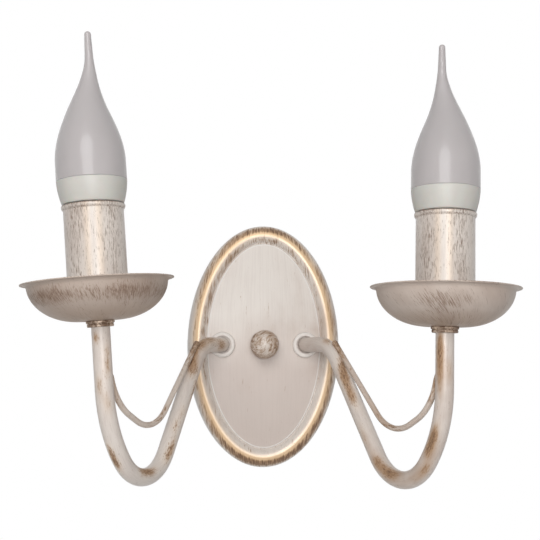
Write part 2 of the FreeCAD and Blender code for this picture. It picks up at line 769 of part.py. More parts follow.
# ---- the lampholder ----
def make_holder_yoke(arm):
    """A steel strip bent to a U: its floor is clamped on the tube's thread, its legs hold the barrel."""
    half, width = yoke_half_span, yoke_width / 2
    low, high = seat_top, seat_top + yoke_height
    floor = slab(-half, half, -width, width, low, yoke_floor_top)
    shape = floor.fuse(rod_z(tube_radius + yoke_boss_wall, low, yoke_floor_top))
    for side in (-1, 1):
        x = side * (half - yoke_sheet / 2)
        shape = shape.fuse(slab(x - yoke_sheet / 2, x + yoke_sheet / 2, -width, width, low, high))
        shape = shape.cut(rod_x(rivet_radius + thread_clearance, x - 1, x + 1, 0, high - yoke_width / 2))
    return arm.stand(shape.cut(rod_z(tube_radius + hole_clearance, low - 1, yoke_floor_top + 1)).removeSplitter())


def make_holder_nut(arm):
    nut = hex_nut(arm_nut_flats, tube_radius + thread_clearance, yoke_floor_top, yoke_floor_top + arm_nut_thickness)
    return arm.stand(nut)


def make_holder_barrel(arm):
    """A moulded barrel: open mouth, seat for the screw shell, room for the contact and two wire holes."""
    body = rod_z(holder_radius, holder_base, holder_top)
    mouth_low = holder_top - holder_mouth_depth
    body = body.cut(rod_z(shell_radius + thread_clearance, shell_base, holder_top + 1))
    body = body.cut(turned((0, mouth_low), (shell_radius, mouth_low), (holder_mouth_radius, holder_top),
                           (holder_mouth_radius, holder_top + 1), (0, holder_top + 1)))
    body = body.cut(rod_z(contact_room_radius, holder_base + holder_floor, shell_base + 1))
    flat_x = yoke_half_span - yoke_sheet
    leg_top = seat_top + yoke_height + hole_clearance
    for side in (-1, 1):
        outer = slab(min(side * flat_x, side * (holder_radius + 1)), max(side * flat_x, side * (holder_radius + 1)),
                     -holder_radius, holder_radius, holder_base - 1, leg_top)
        body = body.cut(outer)
        ends = sorted((side * (flat_x - rivet_length), side * (flat_x + 1)))
        body = body.cut(rod_x(rivet_radius, ends[0], ends[1], 0, seat_top + yoke_height - yoke_width / 2))
        body = body.cut(rod_z(wire_radius + wire_clearance, holder_base - 1, holder_base + holder_floor / 2,
                              side * terminal_offset))
    return arm.stand(body)


def make_holder_rivets(arm):
    """Two rivets through the yoke's legs into the barrel."""
    flat_x = yoke_half_span - yoke_sheet
    z = seat_top + yoke_height - yoke_width / 2
    rivets = []
    for side in (-1, 1):
        shank = sorted((side * (flat_x - rivet_length), side * yoke_half_span))
        head = sorted((side * yoke_half_span, side * (yoke_half_span + rivet_head_thickness)))
        rivet = rod_x(rivet_radius, shank[0], shank[1], 0, z).fuse(rod_x(rivet_head_radius, head[0], head[1], 0, z))
        rivets.append(arm.stand(rivet))
    return Part.makeCompound(rivets)


def make_holder_shell(arm):
    """The brass screw shell, with a floor that is open round the centre contact."""
    high = shell_base + shell_length
    return arm.stand(turned((contact_room_radius - 1.5, shell_base), (shell_radius, shell_base), (shell_radius, high),
                            (shell_bore, high), (shell_bore, shell_base + shell_sheet),
                            (contact_room_radius - 1.5, shell_base + shell_sheet)))


def make_holder_contact(arm):
    """A brass leaf: flat foot on the barrel's floor, slanted spring and a flat pad under the bulb's contact."""
    floor = holder_base + holder_floor
    sheet, width, pad = shell_sheet, 3.0, 1.2
    far, rise = contact_room_radius - 1.6, contact_bottom - floor
    outline = [(-far, 0), (-1.0, 0), (-0.2, sheet), (pad, rise - sheet), (pad + 1.0, rise - sheet), (pad + 1.0, rise),
               (-pad, rise), (-pad, rise - sheet), (pad - 1.4, rise - sheet), (-1.4, sheet), (-far, sheet)]
    points = [Vector(x, -width / 2, floor + z) for x, z in outline + outline[:1]]
    return arm.stand(Part.Face(Part.makePolygon(points)).extrude(Vector(0, width, 0)))


# ---- the bulb ----
def make_bulb_cap(arm):
    """The bulb's screw cap, drawn from thin sheet, with a small rim at the top."""
    inner = cap_radius - cap_sheet
    rim_low = cap_top - cap_rim_height
    return arm.stand(turned((inner, cap_bottom), (cap_radius, cap_bottom), (cap_radius, rim_low),
                            (cap_rim_radius, rim_low + 0.3), (cap_rim_radius, cap_top), (inner, cap_top)))


def make_bulb_insulator(arm):
    """The glass cone that closes the cap round its centre contact."""
    shoulder = cap_radius - cap_sheet
    return arm.stand(turned((0, insulator_bottom), (insulator_tip_radius, insulator_bottom), (cap_radius, cap_bottom),
                            (shoulder, cap_bottom), (shoulder, cap_bottom + 1.0), (0, cap_bottom + 1.0)))


def make_bulb_contact(arm):
    return arm.stand(turned((0, contact_bottom), (contact_radius - 0.7, contact_bottom),
                            (contact_radius, contact_bottom + 0.6), (contact_radius, insulator_bottom),
                            (0, insulator_bottom)))


def make_bulb_housing(arm):
    """The bulb's lower shell: a neck in the cap, a cone, a shelf over the sleeve and a flared ring."""
    neck_low = cap_top - neck_depth
    cone_low = cap_top + 0.8
    flare_mid = (housing_foot_radius + 0.66 * (bulb_radius - housing_foot_radius), housing_foot + 0.45 * housing_height)
    inner_top = bulb_radius - housing_wall
    inner_foot = housing_foot_radius - housing_wall
    inner_mid = (flare_mid[0] - housing_wall, flare_mid[1] + 0.3)
    ledge = board_bottom
    return arm.stand(turned((neck_bore, neck_low), (neck_radius, neck_low), (neck_radius, cap_top),
                            (housing_cone_radius, cap_top), (housing_cone_radius, cone_low),
                            (housing_shelf_radius, housing_foot), (housing_foot_radius - 0.5, housing_foot),
                            (housing_foot_radius, housing_foot + 0.5), (flare_mid, (bulb_radius, housing_top)),
                            (inner_top, housing_top), (inner_top, ledge), (inner_top - 1.4, ledge),
                            (inner_top - 2.2, ledge - 1.6), (inner_foot, housing_foot + housing_wall + 0.4),
                            (housing_shelf_radius - 0.6, housing_foot + housing_wall), (neck_bore, cone_low + 0.4)))


def make_led_board(arm):
    """A round board on the housing's ledge, with a ring of light chips."""
    radius = bulb_radius - housing_wall - 2 * thread_clearance
    board = rod_z(radius, board_bottom, board_top)
    for i in range(chip_count):
        chip = slab(radius * 0.6 - chip_size / 2, radius * 0.6 + chip_size / 2, -chip_size / 2, chip_size / 2,
                    board_top, board_top + chip_height)
        chip.rotate(Vector(0, 0, 0), Vector(0, 0, 1), 360 * i / chip_count)
        board = board.fuse(chip)
    return arm.stand(board)


def make_led_driver(arm):
    """The driver: an upright board in the neck with a round capacitor, standing up to the light board."""
    low = cap_top - neck_depth + 1.0
    board = slab(-driver_width / 2, driver_width / 2, -driver_thickness, 0, low, board_bottom)
    capacitor_low = cap_top - 1.0
    capacitor = rod_z(capacitor_radius, capacitor_low, capacitor_low + capacitor_length, 0, 0.9 * capacitor_radius)
    return arm.stand(board.fuse(capacitor))


def dome_radius(height, drawn_in):
    """The dome's radius over the housing: straight at first, then a squared cosine down to the thin tail."""
    tail = tail_radius - drawn_in
    full = bulb_radius - drawn_in
    share = min(max((height - dome_straight) / dome_length, 0.0), 1.0)
    return tail + (full - tail) * math.cos(math.pi / 2 * share) ** 2


def tail_offset(height):
    """How far the tail has bent towards the plate's middle at a height over the housing."""
    share = min(max((height - tail_shift_start) / tail_shift_length, 0.0), 1.0)
    return -tail_shift * share * share * (3 - 2 * share)


def dome_loft(drawn_in, low, high):
    """A smooth skin through circles whose radius and centre follow the two rules above."""
    rings = []
    for i in range(diffuser_rings):
        height = low + (high - low) * i / (diffuser_rings - 1)
        centre = Vector(tail_offset(height), 0, housing_top + height)
        rings.append(Part.Wire([Part.Circle(centre, Vector(0, 0, 1), dome_radius(height, drawn_in)).toShape()]))
    return Part.makeLoft(rings, True, False)


def make_bulb_diffuser(arm):
    """A hollow dome with a thin bent tail and a round tip, and a spigot that stands on the light board."""
    tip = bulb_tip_height - housing_top - tail_radius
    spigot_radius = bulb_radius - housing_wall - thread_clearance
    spigot_bore = spigot_radius - diffuser_wall
    cap = Part.makeSphere(tail_radius, Vector(tail_offset(tip), 0, housing_top + tip), Vector(0, 0, 1), 0, 90, 360)
    dome = dome_loft(0.0, 0.0, tip).fuse(cap).fuse(rod_z(spigot_radius, board_top, housing_top))
    dome = dome.cut(dome_loft(diffuser_wall, diffuser_wall, tip - 1.0))
    return arm.stand(dome.cut(rod_z(spigot_bore, board_top - 1, housing_top + 1.5 * diffuser_wall)))


# ---- the whole light, one file for each piece ----
def build():
    pieces = {
        "back_plate": make_back_plate(),
        "wall_bracket": make_wall_bracket(),
        "bracket_stud": make_bracket_stud(),
        "stud_lock_nut": make_stud_lock_nut(),
        "ball_nut_washer": make_ball_nut_washer(),
        "ball_nut": make_ball_nut(),
        "earth_screw": make_earth_screw(),
        "earth_lug": make_earth_lug(),
        "earth_lead": make_earth_lead(),
        "terminal_block": make_terminal_block(),
        "terminal_tubes": make_terminal_tubes(),
        "terminal_screws": make_terminal_screws(),
    }
    makers = {
        "rosette": make_rosette,
        "arm_washer": make_arm_washer,
        "arm_nut": make_arm_nut,
        "arm_tube": make_arm_tube,
        "arm_rod": make_arm_rod,
        "collar": make_collar,
        "drip_pan": make_drip_pan,
        "sleeve_seat": make_sleeve_seat,
        "candle_sleeve": make_candle_sleeve,
        "holder_yoke": make_holder_yoke,
        "holder_nut": make_holder_nut,
        "holder_barrel": make_holder_barrel,
        "holder_rivets": make_holder_rivets,
        "holder_shell": make_holder_shell,
        "holder_contact": make_holder_contact,
        "bulb_cap": make_bulb_cap,
        "bulb_insulator": make_bulb_insulator,
        "bulb_contact": make_bulb_contact,
        "bulb_housing": make_bulb_housing,
        "bulb_diffuser": make_bulb_diffuser,
        "led_board": make_led_board,
        "led_driver": make_led_driver,
        "live_wire": lambda arm: make_wire(arm, -wire_offset, live_pole),
        "neutral_wire": lambda arm: make_wire(arm, wire_offset, neutral_pole),
    }
    for side in sides:
        arm = Arm(side)
        for name, make in makers.items():
            pieces[side + "_" + name] = make(arm)
    return pieces


os.makedirs("parts", exist_ok=True)
for name, shape in build().items():
    shape.exportStep("parts/" + name + ".step")
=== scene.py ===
import json
import math

import bpy
import numpy as np
from bpy.props import FloatProperty, FloatVectorProperty, PointerProperty
from mathutils import Matrix


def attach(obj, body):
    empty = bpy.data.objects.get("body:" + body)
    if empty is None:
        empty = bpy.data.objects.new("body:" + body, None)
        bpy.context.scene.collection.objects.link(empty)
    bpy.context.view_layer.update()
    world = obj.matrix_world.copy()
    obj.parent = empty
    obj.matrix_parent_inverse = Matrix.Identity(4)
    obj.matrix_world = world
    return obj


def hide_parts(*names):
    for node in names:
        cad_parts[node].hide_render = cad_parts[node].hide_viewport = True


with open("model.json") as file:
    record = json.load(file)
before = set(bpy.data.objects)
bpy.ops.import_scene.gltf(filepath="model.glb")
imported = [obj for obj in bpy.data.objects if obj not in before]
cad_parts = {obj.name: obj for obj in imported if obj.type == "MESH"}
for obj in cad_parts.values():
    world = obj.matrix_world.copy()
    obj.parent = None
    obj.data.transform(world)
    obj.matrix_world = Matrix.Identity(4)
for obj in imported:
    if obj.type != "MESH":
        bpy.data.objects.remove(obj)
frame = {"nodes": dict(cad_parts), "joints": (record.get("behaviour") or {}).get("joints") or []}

bl_info = {
    "name": "Double arm wall sconce",
    "version": (1, 0, 0),
    "blender": (4, 5, 0),
    "location": "View3D > Sidebar > Sconce",
    "description": "Dresses the wall light: oval plate, bent arms, drip pans, candle sleeves and flame-tip bulbs",
    "category": "Add Mesh",
}

SIDES = ("right", "left")
JOINTS = {joint["name"]: joint for joint in frame["joints"]}
SIGN = {"right": 1.0, "left": -1.0}
CAMERA_PLACE = np.array([-0.03223, -0.60903, -0.01455])


# ---------------------------------------------------------------- sizes and finishes a user would change
def length(name, value, about):
    return FloatProperty(name=name, description=about, default=value, unit="LENGTH", precision=5)


def shade(name, value, about):
    return FloatVectorProperty(name=name, description=about, default=value, subtype="COLOR", size=3, min=0.0,
                               max=1.0)


class SconceSizes(bpy.types.PropertyGroup):
    """Sizes of the dressed pieces, in metres; they match the solids."""
    plate_half_width: length("Plate half width", 0.0530, "Half the width of the oval plate")
    plate_half_height: length("Plate half height", 0.0840, "Half the height of the oval plate")
    plate_sheet: length("Plate sheet", 0.0012, "Thickness of the pressed sheet")
    arm_spacing: length("Arm spacing", 0.0572, "Distance between the two arm holes")
    tube_radius: length("Tube radius", 0.0050, "Outer radius of the bent tubes")
    tube_bore: length("Tube bore", 0.0040, "Inner radius of the bent tubes")
    rod_radius: length("Rod radius", 0.0017, "Radius of the rod brazed inside each bend")
    pan_radius: length("Pan radius", 0.0374, "Outer radius of the drip pan's wall")
    sleeve_radius: length("Sleeve radius", 0.0161, "Outer radius of the candle sleeve")
    bulb_radius: length("Bulb radius", 0.0189, "Largest radius of the bulb")
    ball_radius: length("Ball radius", 0.0097, "Radius of the ball nut")


class SconceFinish(bpy.types.PropertyGroup):
    """Colours of the finishes."""
    ivory: shade("Ivory", (0.800, 0.738, 0.680), "The paint where it is clean")
    # Also the colour of the painted shade low on the plate's field.
    ivory_grey: shade("Shaded ivory", (0.600, 0.500, 0.448), "The paint where it is slightly soiled")
    glaze: shade("Glaze", (0.370, 0.215, 0.112), "The thin gold-brown glaze wiped over the paint")
    umber: shade("Umber", (0.160, 0.092, 0.055), "The darkest strokes of the glaze")
    smoke: shade("Smoke", (0.250, 0.172, 0.128), "The cooler, darker glaze on the pans and the sleeves")
    # Painted shade: the darker paint on the pans, strongest low where the bowls face down; some soil too.
    soiled: shade("Soiled pan", (0.410, 0.315, 0.255), "The darker paint low on the pans")
    # Painted highlight on the plate's step edge; also a whiter tone on the rosettes and the ball nut.
    white_and_highlight: shade("Rubbed white", (0.900, 0.870, 0.840), "The paint where an edge is rubbed bright")
    # Also painted as a gold glint beside the highlight on the candle sleeves.
    gilt: shade("Gilt", (0.720, 0.490, 0.270), "The gilding rubbed on raised edges")
    frost: shade("Frosted dome", (0.515, 0.478, 0.478), "The bulb's frosted dome")
    collar_white: shade("Bulb ring", (0.640, 0.622, 0.578), "The bulb's plastic ring")


class SconceStage(bpy.types.PropertyGroup):
    """Camera and light."""
    lens: FloatProperty(name="Lens", description="Focal length of the camera", default=57.41, unit="CAMERA")
    key: FloatProperty(name="Key light", default=3.6, min=0.0,
                       description="Power of the large light behind and above the camera")
    front: FloatProperty(name="Front light", default=0.9, min=0.0,
                         description="Power of the small light just behind the camera")
    sky: FloatProperty(name="Sky", default=0.24, min=0.0, description="Strength of the even light from all round")


# ---------------------------------------------------------------- small sums
def round_angles(sides):
    """Even angles once round; the last isn't the first again."""
    return np.linspace(0, 2 * np.pi, sides, endpoint=False)


def held(value):
    """A value held between 0 and 1."""
    return np.clip(value, 0, 1)


def bell(value, middle, width):
    """A soft peak: exp of minus the square of (value minus middle) over width."""
    return np.exp(-((value - middle) / width) ** 2)


def pick(side, right, left):
    """The value for this side."""
    return right if side == "right" else left


# ---------------------------------------------------------------- surfaces
def put_surface(name, points, lay, marks=None, looped=False):
    """A mesh from a grid of points: rows run along the profile, columns run once round and close on the first.

    A first or last row that lies at one point becomes a pole, joined by triangles. With looped set the last row
    is joined to the first. lay holds, for each point, where it would lie on the piece unrolled straight, in
    metres, and marks holds one number for each point, such as how worn it is.
    """
    rows, columns = points.shape[:2]
    extent = np.ptp(points, axis=1).max(axis=1)
    start_pole = (not looped) and extent[0] < 1e-9
    end_pole = (not looped) and extent[-1] < 1e-9
    first, last = int(start_pole), rows - int(end_pole)
    body = slice(first, last)
    count = (last - first) * columns

    def gather(grid):
        parts = [grid[body].reshape(count, -1)]
        if start_pole:
            parts.append(grid[0, :1].reshape(1, -1))
        if end_pole:
            parts.append(grid[-1, :1].reshape(1, -1))
        return np.concatenate(parts)

    index = np.arange(count).reshape(last - first, columns)
    lower = index if looped else index[:-1]
    upper = np.roll(index, -1, axis=0) if looped else index[1:]
    quads = np.stack([lower, np.roll(lower, -1, axis=1), np.roll(upper, -1, axis=1), upper], axis=-1).reshape(-1, 4)
    fans = []
    if start_pole:
        ring = index[0]
        fans.append(np.stack([np.full(columns, count), np.roll(ring, -1), ring], axis=-1))
    if end_pole:
        ring = index[-1]
        fans.append(np.stack([np.full(columns, count + int(start_pole)), ring, np.roll(ring, -1)], axis=-1))
    fans = np.concatenate(fans) if fans else np.zeros((0, 3), dtype=int)
    vertices = gather(points)
    mesh = bpy.data.meshes.new(name)
    mesh.vertices.add(len(vertices))
    mesh.vertices.foreach_set("co", vertices.astype(np.float32).ravel())
    corners = np.concatenate([quads.ravel(), fans.ravel()]).astype(np.int32)
    starts = np.concatenate([np.arange(len(quads)) * 4, len(quads) * 4 + np.arange(len(fans)) * 3]).astype(np.int32)
    mesh.loops.add(len(corners))
    mesh.loops.foreach_set("vertex_index", corners)
    mesh.polygons.add(len(starts))
    mesh.polygons.foreach_set("loop_start", starts)
    mesh.update(calc_edges=True)
    mesh.polygons.foreach_set("use_smooth", np.ones(len(starts), dtype=bool))
    store = mesh.attributes.new("lay", "FLOAT_VECTOR", "POINT")
    store.data.foreach_set("vector", gather(lay).astype(np.float32).ravel())
    for mark, values in (marks or {}).items():
        grid = np.broadcast_to(values, points.shape[:2])[..., None]
        store = mesh.attributes.new(mark, "FLOAT", "POINT")
        store.data.foreach_set("value", gather(grid).astype(np.float32).ravel())
    mesh.validate()
    piece = bpy.data.objects.new(name, mesh)
    bpy.context.scene.collection.objects.link(piece)
    return piece


GUARD = 0.0004


def soft_outline(corners, radii, steps=5):
    """A flat outline with every corner rounded: each arc touches both sides at radius times tan(half the turn).

    A guard point on the straight beside each arc keeps the shading of long flats even.
    """
    corners = [np.asarray(c, dtype=float) for c in corners]
    out = [corners[0]]
    for before, here, after, radius in zip(corners, corners[1:], corners[2:], radii):
        arrive, leave = here - before, after - here
        long_in, long_out = np.linalg.norm(arrive), np.linalg.norm(leave)
        arrive, leave = arrive / long_in, leave / long_out
        turn = math.acos(max(-1.0, min(1.0, float(arrive @ leave))))
        if turn < 1e-3 or radius <= 0:
            out.append(here)
            continue
        reach = min(radius * math.tan(turn / 2), 0.45 * long_in, 0.45 * long_out)
        radius = reach / math.tan(turn / 2)
        side = math.copysign(1.0, arrive[0] * leave[1] - arrive[1] * leave[0])
        start = here - arrive * reach
        centre = start + side * radius * np.array([-arrive[1], arrive[0]])
        angle = side * turn * np.linspace(0, 1, steps)
        spoke = start - centre
        arc = centre + np.stack([spoke[0] * np.cos(angle) - spoke[1] * np.sin(angle),
                                 spoke[0] * np.sin(angle) + spoke[1] * np.cos(angle)], axis=1)
        if long_in - reach > 3 * GUARD:
            out.append(start - arrive * GUARD)
        out.extend(arc)
        if long_out - reach > 3 * GUARD:
            out.append(here + leave * (reach + GUARD))
    out.append(corners[-1])
    return np.array(out)


def arc_through(start, middle, end, steps):
    """Points on the circle through three points, from the first to the last."""
    a, b, c = (np.asarray(p, dtype=float) for p in (start, middle, end))
    matrix = 2 * np.array([b - a, c - a])
    centre = np.linalg.solve(matrix, np.array([b @ b - a @ a, c @ c - a @ a]))
    angles = np.unwrap([math.atan2(*(p - centre)[::-1]) for p in (a, b, c)])
    turn = np.linspace(angles[0], angles[2], steps)
    return centre + np.linalg.norm(a - centre) * np.stack([np.cos(turn), np.sin(turn)], axis=1)


def wrapped(r, z, sides):
    """Radius r and height z become (r cos t, r sin t, z) for each turn t; one column goes all the way round."""
    turn = round_angles(sides)
    x = r * np.cos(turn)
    return np.stack([x, r * np.sin(turn), np.broadcast_to(z, x.shape)], axis=-1)


def turned_grid(outline, sides):
    """A surface of revolution from an outline of radius and height."""
    return wrapped(outline[:, :1], outline[:, 1:], sides)


def thread_grid(outer, depth, pitch, low, high, sides, bore=0.0, run_out=0.6):
    """A screw thread on a bar or a tube: r = outer minus depth times a wave of (height over pitch minus turn).

    The wave fades over a part of a pitch at both ends, and the surface closes on the axis or down the bore.
    """
    rows = int(max(8, (high - low) / pitch * 14))
    z = np.linspace(low, high, rows)[:, None]
    wave = 0.5 - 0.5 * np.cos(2 * np.pi * z / pitch - round_angles(sides))
    fade = held(np.minimum(z - low, high - z) / (run_out * pitch))
    r = outer - depth * (wave * fade + (1 - fade))
    core = outer - depth - 1e-5
    foot, head = (turned_grid(np.array(ends), sides) for ends in ([[bore, low], [core, low]],
                                                                  [[core, high], [bore, high]]))
    return np.concatenate([foot, wrapped(r, z, sides), head])


# ---------------------------------------------------------------- the arm's line and the candle's frame
class ArmLine:
    """The centre line of one arm: a stub out of the plate, a small flat bend, then arcs and straights in an
    upright plane. Each stretch is (length, curvature); a point at a length is the running sum of its direction."""

    shape = {
        "right": dict(azimuth=25.1, roll=1.5, fall=0.0724, leg=0.0307, lean=0.0),
        "left": dict(azimuth=26.8, roll=3.6, fall=0.0675, leg=0.0344, lean=1.9),
    }
    stub_start, stub_depth, stub_bend = 0.0076, 0.0155, 0.0090
    shoulder_run, shoulder, fall_angle = 0.0182, 0.0288, math.radians(50.9)
    hook, hook_rise, rise = 0.0294, math.radians(52.2), 0.0686

    def __init__(self, side, spacing):
        data = self.shape[side]
        self.sign, self.spacing = SIGN[side], spacing
        self.azimuth, self.roll = math.radians(data["azimuth"]), math.radians(data["roll"]) * self.sign
        self.fall = data["fall"]
        reach = self.stub_bend * math.tan(self.azimuth / 2)
        final = math.pi / 2 - math.radians(data["lean"])
        self.flat_length = self.stub_depth - reach - self.stub_start
        self.turn_length = self.stub_bend * self.azimuth
        self.reach = reach
        self.runs = [(self.shoulder_run - reach, 0.0), (self.shoulder * self.fall_angle, -1 / self.shoulder),
                     (self.fall, 0.0), (self.hook * (self.fall_angle + self.hook_rise), 1 / self.hook),
                     (self.rise * (final - self.hook_rise), 1 / self.rise), (data["leg"], 0.0)]
        self.total = sum((run[0] for run in self.runs), self.flat_length + self.turn_length)
        self.along = np.array([self.sign * math.sin(self.azimuth), -math.cos(self.azimuth), 0.0])
        self.across = np.array([self.sign * math.cos(self.azimuth), math.sin(self.azimuth), 0.0])

    def rolled(self, points):
        """Turn about the hole's own axis by the arm's roll."""
        c, s = math.cos(self.roll), math.sin(self.roll)
        shift = points - np.array([self.sign * self.spacing / 2, 0, 0])
        x, y, z = shift[..., 0], shift[..., 1], shift[..., 2]
        return np.stack([c * x + s * z + self.sign * self.spacing / 2, y, -s * x + c * z], axis=-1)

    def plane(self, start, heading, runs, lengths):
        """Points and headings in the upright plane: x along, y up; exact on each straight or arc."""
        place = np.zeros((len(lengths), 2))
        facing = np.full(len(lengths), heading)
        s, h, done = start[0], start[1], 0.0
        for run, bend in runs:
            here = (lengths >= done - 1e-12) | (done == 0.0)
            part = np.clip(lengths[here] - done, 0, run)
            if bend == 0:
                place[here] = np.stack([s + part * math.cos(heading), h + part * math.sin(heading)], axis=1)
                facing[here] = heading
                s, h = s + run * math.cos(heading), h + run * math.sin(heading)
            else:
                angle = heading + bend * part
                place[here] = np.stack([s + (np.sin(angle) - math.sin(heading)) / bend,
                                        h - (np.cos(angle) - math.cos(heading)) / bend], axis=1)
                facing[here] = angle
                end = heading + bend * run
                s += (math.sin(end) - math.sin(heading)) / bend
                h -= (math.cos(end) - math.cos(heading)) / bend
                heading = end
            done += run
        return place, facing, (s, h), heading

    def in_space(self, place, facing):
        """World points and the two directions square to the line for points of the upright plane."""
        origin = np.array([self.sign * self.spacing / 2, -self.stub_depth, 0.0])
        up = np.array([0.0, 0.0, 1.0])
        points = origin + place[:, :1] * self.along + place[:, 1:] * up
        tangent = np.cos(facing)[:, None] * self.along + np.sin(facing)[:, None] * up
        side = np.broadcast_to(self.across, tangent.shape)
        return self.turn_all(points, tangent, side)

    def turn_all(self, points, tangent, side):
        """Roll points and directions with the arm, and add the direction square to tangent and side."""
        zero = self.rolled(np.zeros(3))
        top = np.cross(tangent, side) * self.sign
        return (self.rolled(points), self.rolled(tangent) - zero, self.rolled(side) - zero, self.rolled(top) - zero)

    def tube_line(self, lengths):
        """Points, tangent, side and top along the whole tube, from the threaded stub to the candle."""
        lead = self.flat_length + self.turn_length
        beyond = lengths - lead
        place, facing, _, _ = self.plane((self.reach, 0.0), 0.0, self.runs, np.maximum(beyond, 0))
        points, tangent, side, top = self.in_space(place, facing)
        stub = beyond < 0
        part = lengths[stub]
        angle = np.clip(part - self.flat_length, 0, None) / self.stub_bend
        depth = self.stub_start + np.minimum(part, self.flat_length) + self.stub_bend * np.sin(angle)
        out = self.sign * (self.spacing / 2 + self.stub_bend * (1 - np.cos(angle)))
        flat = np.stack([out, -depth, np.zeros_like(depth)], axis=1)
        heading = np.stack([self.sign * np.sin(angle), -np.cos(angle), np.zeros_like(angle)], axis=1)
        beside = np.stack([self.sign * np.cos(angle), np.sin(angle), np.zeros_like(angle)], axis=1)
        for whole, piece in zip((points, tangent, side, top), self.turn_all(flat, heading, beside)):
            whole[stub] = piece
        return points, tangent, side, top


JOINT_HEIGHT = 0.045


def candle_frame(side):
    """The candle's own frame from the joints: origin on the leg's top, a joint's height below the bulb's joint,
    Z up the candle, X away from the plate."""
    joint = JOINTS[side + "_bulb_turn"]
    axis = np.array(joint["axis"], dtype=float)
    axis /= np.linalg.norm(axis)
    foot = np.array(joint["pos_m"], dtype=float) - JOINT_HEIGHT * axis
    azimuth = math.radians(ArmLine.shape[side]["azimuth"])
    outward = np.array([SIGN[side] * math.cos(azimuth), math.sin(azimuth), 0.0])
    across = outward - axis * (outward @ axis)
    across /= np.linalg.norm(across)
    return foot, np.stack([across, np.cross(axis, across), axis])


def stand(side, points):
    """Carry points from the candle's frame to where the candle stands."""
    foot, rows = candle_frame(side)
    return foot + points @ rows


def from_camera(side, local):
    """How far round the candle each point is from the side that faces the camera, in radians."""
    foot, rows = candle_frame(side)
    toward = rows @ (CAMERA_PLACE - foot)
    turn = np.arctan2(local[..., 1], local[..., 0]) - math.atan2(toward[1], toward[0])
    return (turn + np.pi) % (2 * np.pi) - np.pi


def swept_grid(points, side, top, radius, sides):
    """A round section carried along a line: centre + radius (cos t of the side + sin t of the top)."""
    turn = round_angles(sides)
    radius = np.broadcast_to(np.reshape(radius, (-1, 1)), (len(points), 1))
    ring = (radius * np.cos(turn))[..., None] * side[:, None] + (radius * np.sin(turn))[..., None] * top[:, None]
    return points[:, None] + ring


def unrolled(lengths, radius, sides):
    """Where each point of a swept tube would lie if the tube were straight: round by angle, along by length."""
    return wrapped(np.full((len(lengths), 1), radius), lengths[:, None], sides)


def patches(lengths, sides, spots):
    """How worn a tube is: a sum of soft spots, each (where along, how long, which side in degrees, how wide in
    degrees, how strong); a spot fades as exp of minus its squared distance."""
    turn = np.linspace(0, 360, sides, endpoint=False)[None, :]
    worn = np.zeros((len(lengths), sides))
    for where, long, side, wide, strong in spots:
        apart = (turn - side + 180) % 360 - 180
        worn = worn + strong * np.exp(-((lengths[:, None] - where) / long) ** 2 - (apart / wide) ** 2)
    return held(worn)


# ---------------------------------------------------------------- materials
def add_node(tree, kind, values=None, **settings):
    """A new node: each input is linked where a socket is given, and set where a number or colour is."""
    node = tree.nodes.new(kind)
    for key, value in settings.items():
        setattr(node, key, value)
    for key, value in (values or {}).items():
        if isinstance(value, bpy.types.NodeSocket):
            tree.links.new(value, node.inputs[key])
        else:
            node.inputs[key].default_value = value
    return node


def empty_tree(block):
    """The cleared node tree of a material or a world."""
    block.use_nodes = True
    block.node_tree.nodes.clear()
    return block.node_tree


class Finish:
    """Builds one node material; every helper returns an output socket."""

    def __init__(self, name, where="lay"):
        self.material = bpy.data.materials.new(name)
        self.tree = empty_tree(self.material)
        self.place = self.attribute("lay", "Vector") if where == "lay" else self.add(
            "ShaderNodeTexCoord").outputs["Object"]

    def add(self, kind, values=None, **settings):
        return add_node(self.tree, kind, values, **settings)

    def attribute(self, name, output="Fac"):
        return self.add("ShaderNodeAttribute", attribute_name=name).outputs[output]

    def stretched(self, scale, turn=(0.0, 0.0, 0.0), shift=(0.0, 0.0, 0.0)):
        """The place, turned and scaled, so that a pattern is long one way and fine the other."""
        return self.add("ShaderNodeMapping", {"Vector": self.place, "Location": shift, "Rotation": turn,
                                              "Scale": scale}).outputs["Vector"]

    def noise(self, vector, scale=1.0, detail=3.0, rough=0.55, distortion=0.0):
        return self.add("ShaderNodeTexNoise", {"Vector": vector, "Scale": scale, "Detail": detail,
                                               "Roughness": rough, "Distortion": distortion}).outputs["Fac"]

    def number(self, operation, first, second=0.0, third=0.0, clamp=False):
        return self.add("ShaderNodeMath", {0: first, 1: second, 2: third}, operation=operation,
                        use_clamp=clamp).outputs[0]

    def step(self, value, low, high, bottom=0.0, top=1.0):
        """A smooth step from bottom to top as value goes from low to high."""
        return self.add("ShaderNodeMapRange", {"Value": value, "From Min": low, "From Max": high, "To Min": bottom,
                                               "To Max": top}, interpolation_type="SMOOTHSTEP").outputs["Result"]

    def blend(self, share, first, second):
        """A mix of two colours, each a socket or a plain (r, g, b)."""
        first, second = (tone if isinstance(tone, bpy.types.NodeSocket) else (*tone, 1.0)
                         for tone in (first, second))
        return self.add("ShaderNodeMix", {0: share, 6: first, 7: second}, data_type="RGBA").outputs[2]

    def bump(self, height, strength, distance):
        return self.add("ShaderNodeBump", {"Height": height, "Strength": strength,
                                           "Distance": distance}).outputs["Normal"]

    def close(self, links, inputs=None):
        """The shader and the output; fixed numbers go straight on the shader's sockets."""
        shader = self.add("ShaderNodeBsdfPrincipled", {**links, **(inputs or {})})
        self.add("ShaderNodeOutputMaterial", {"Surface": shader.outputs["BSDF"]})
        return self.material


def colour(name):
    """One of the finish colours as plain numbers."""
    return tuple(getattr(bpy.context.scene.sconce_finish, name))


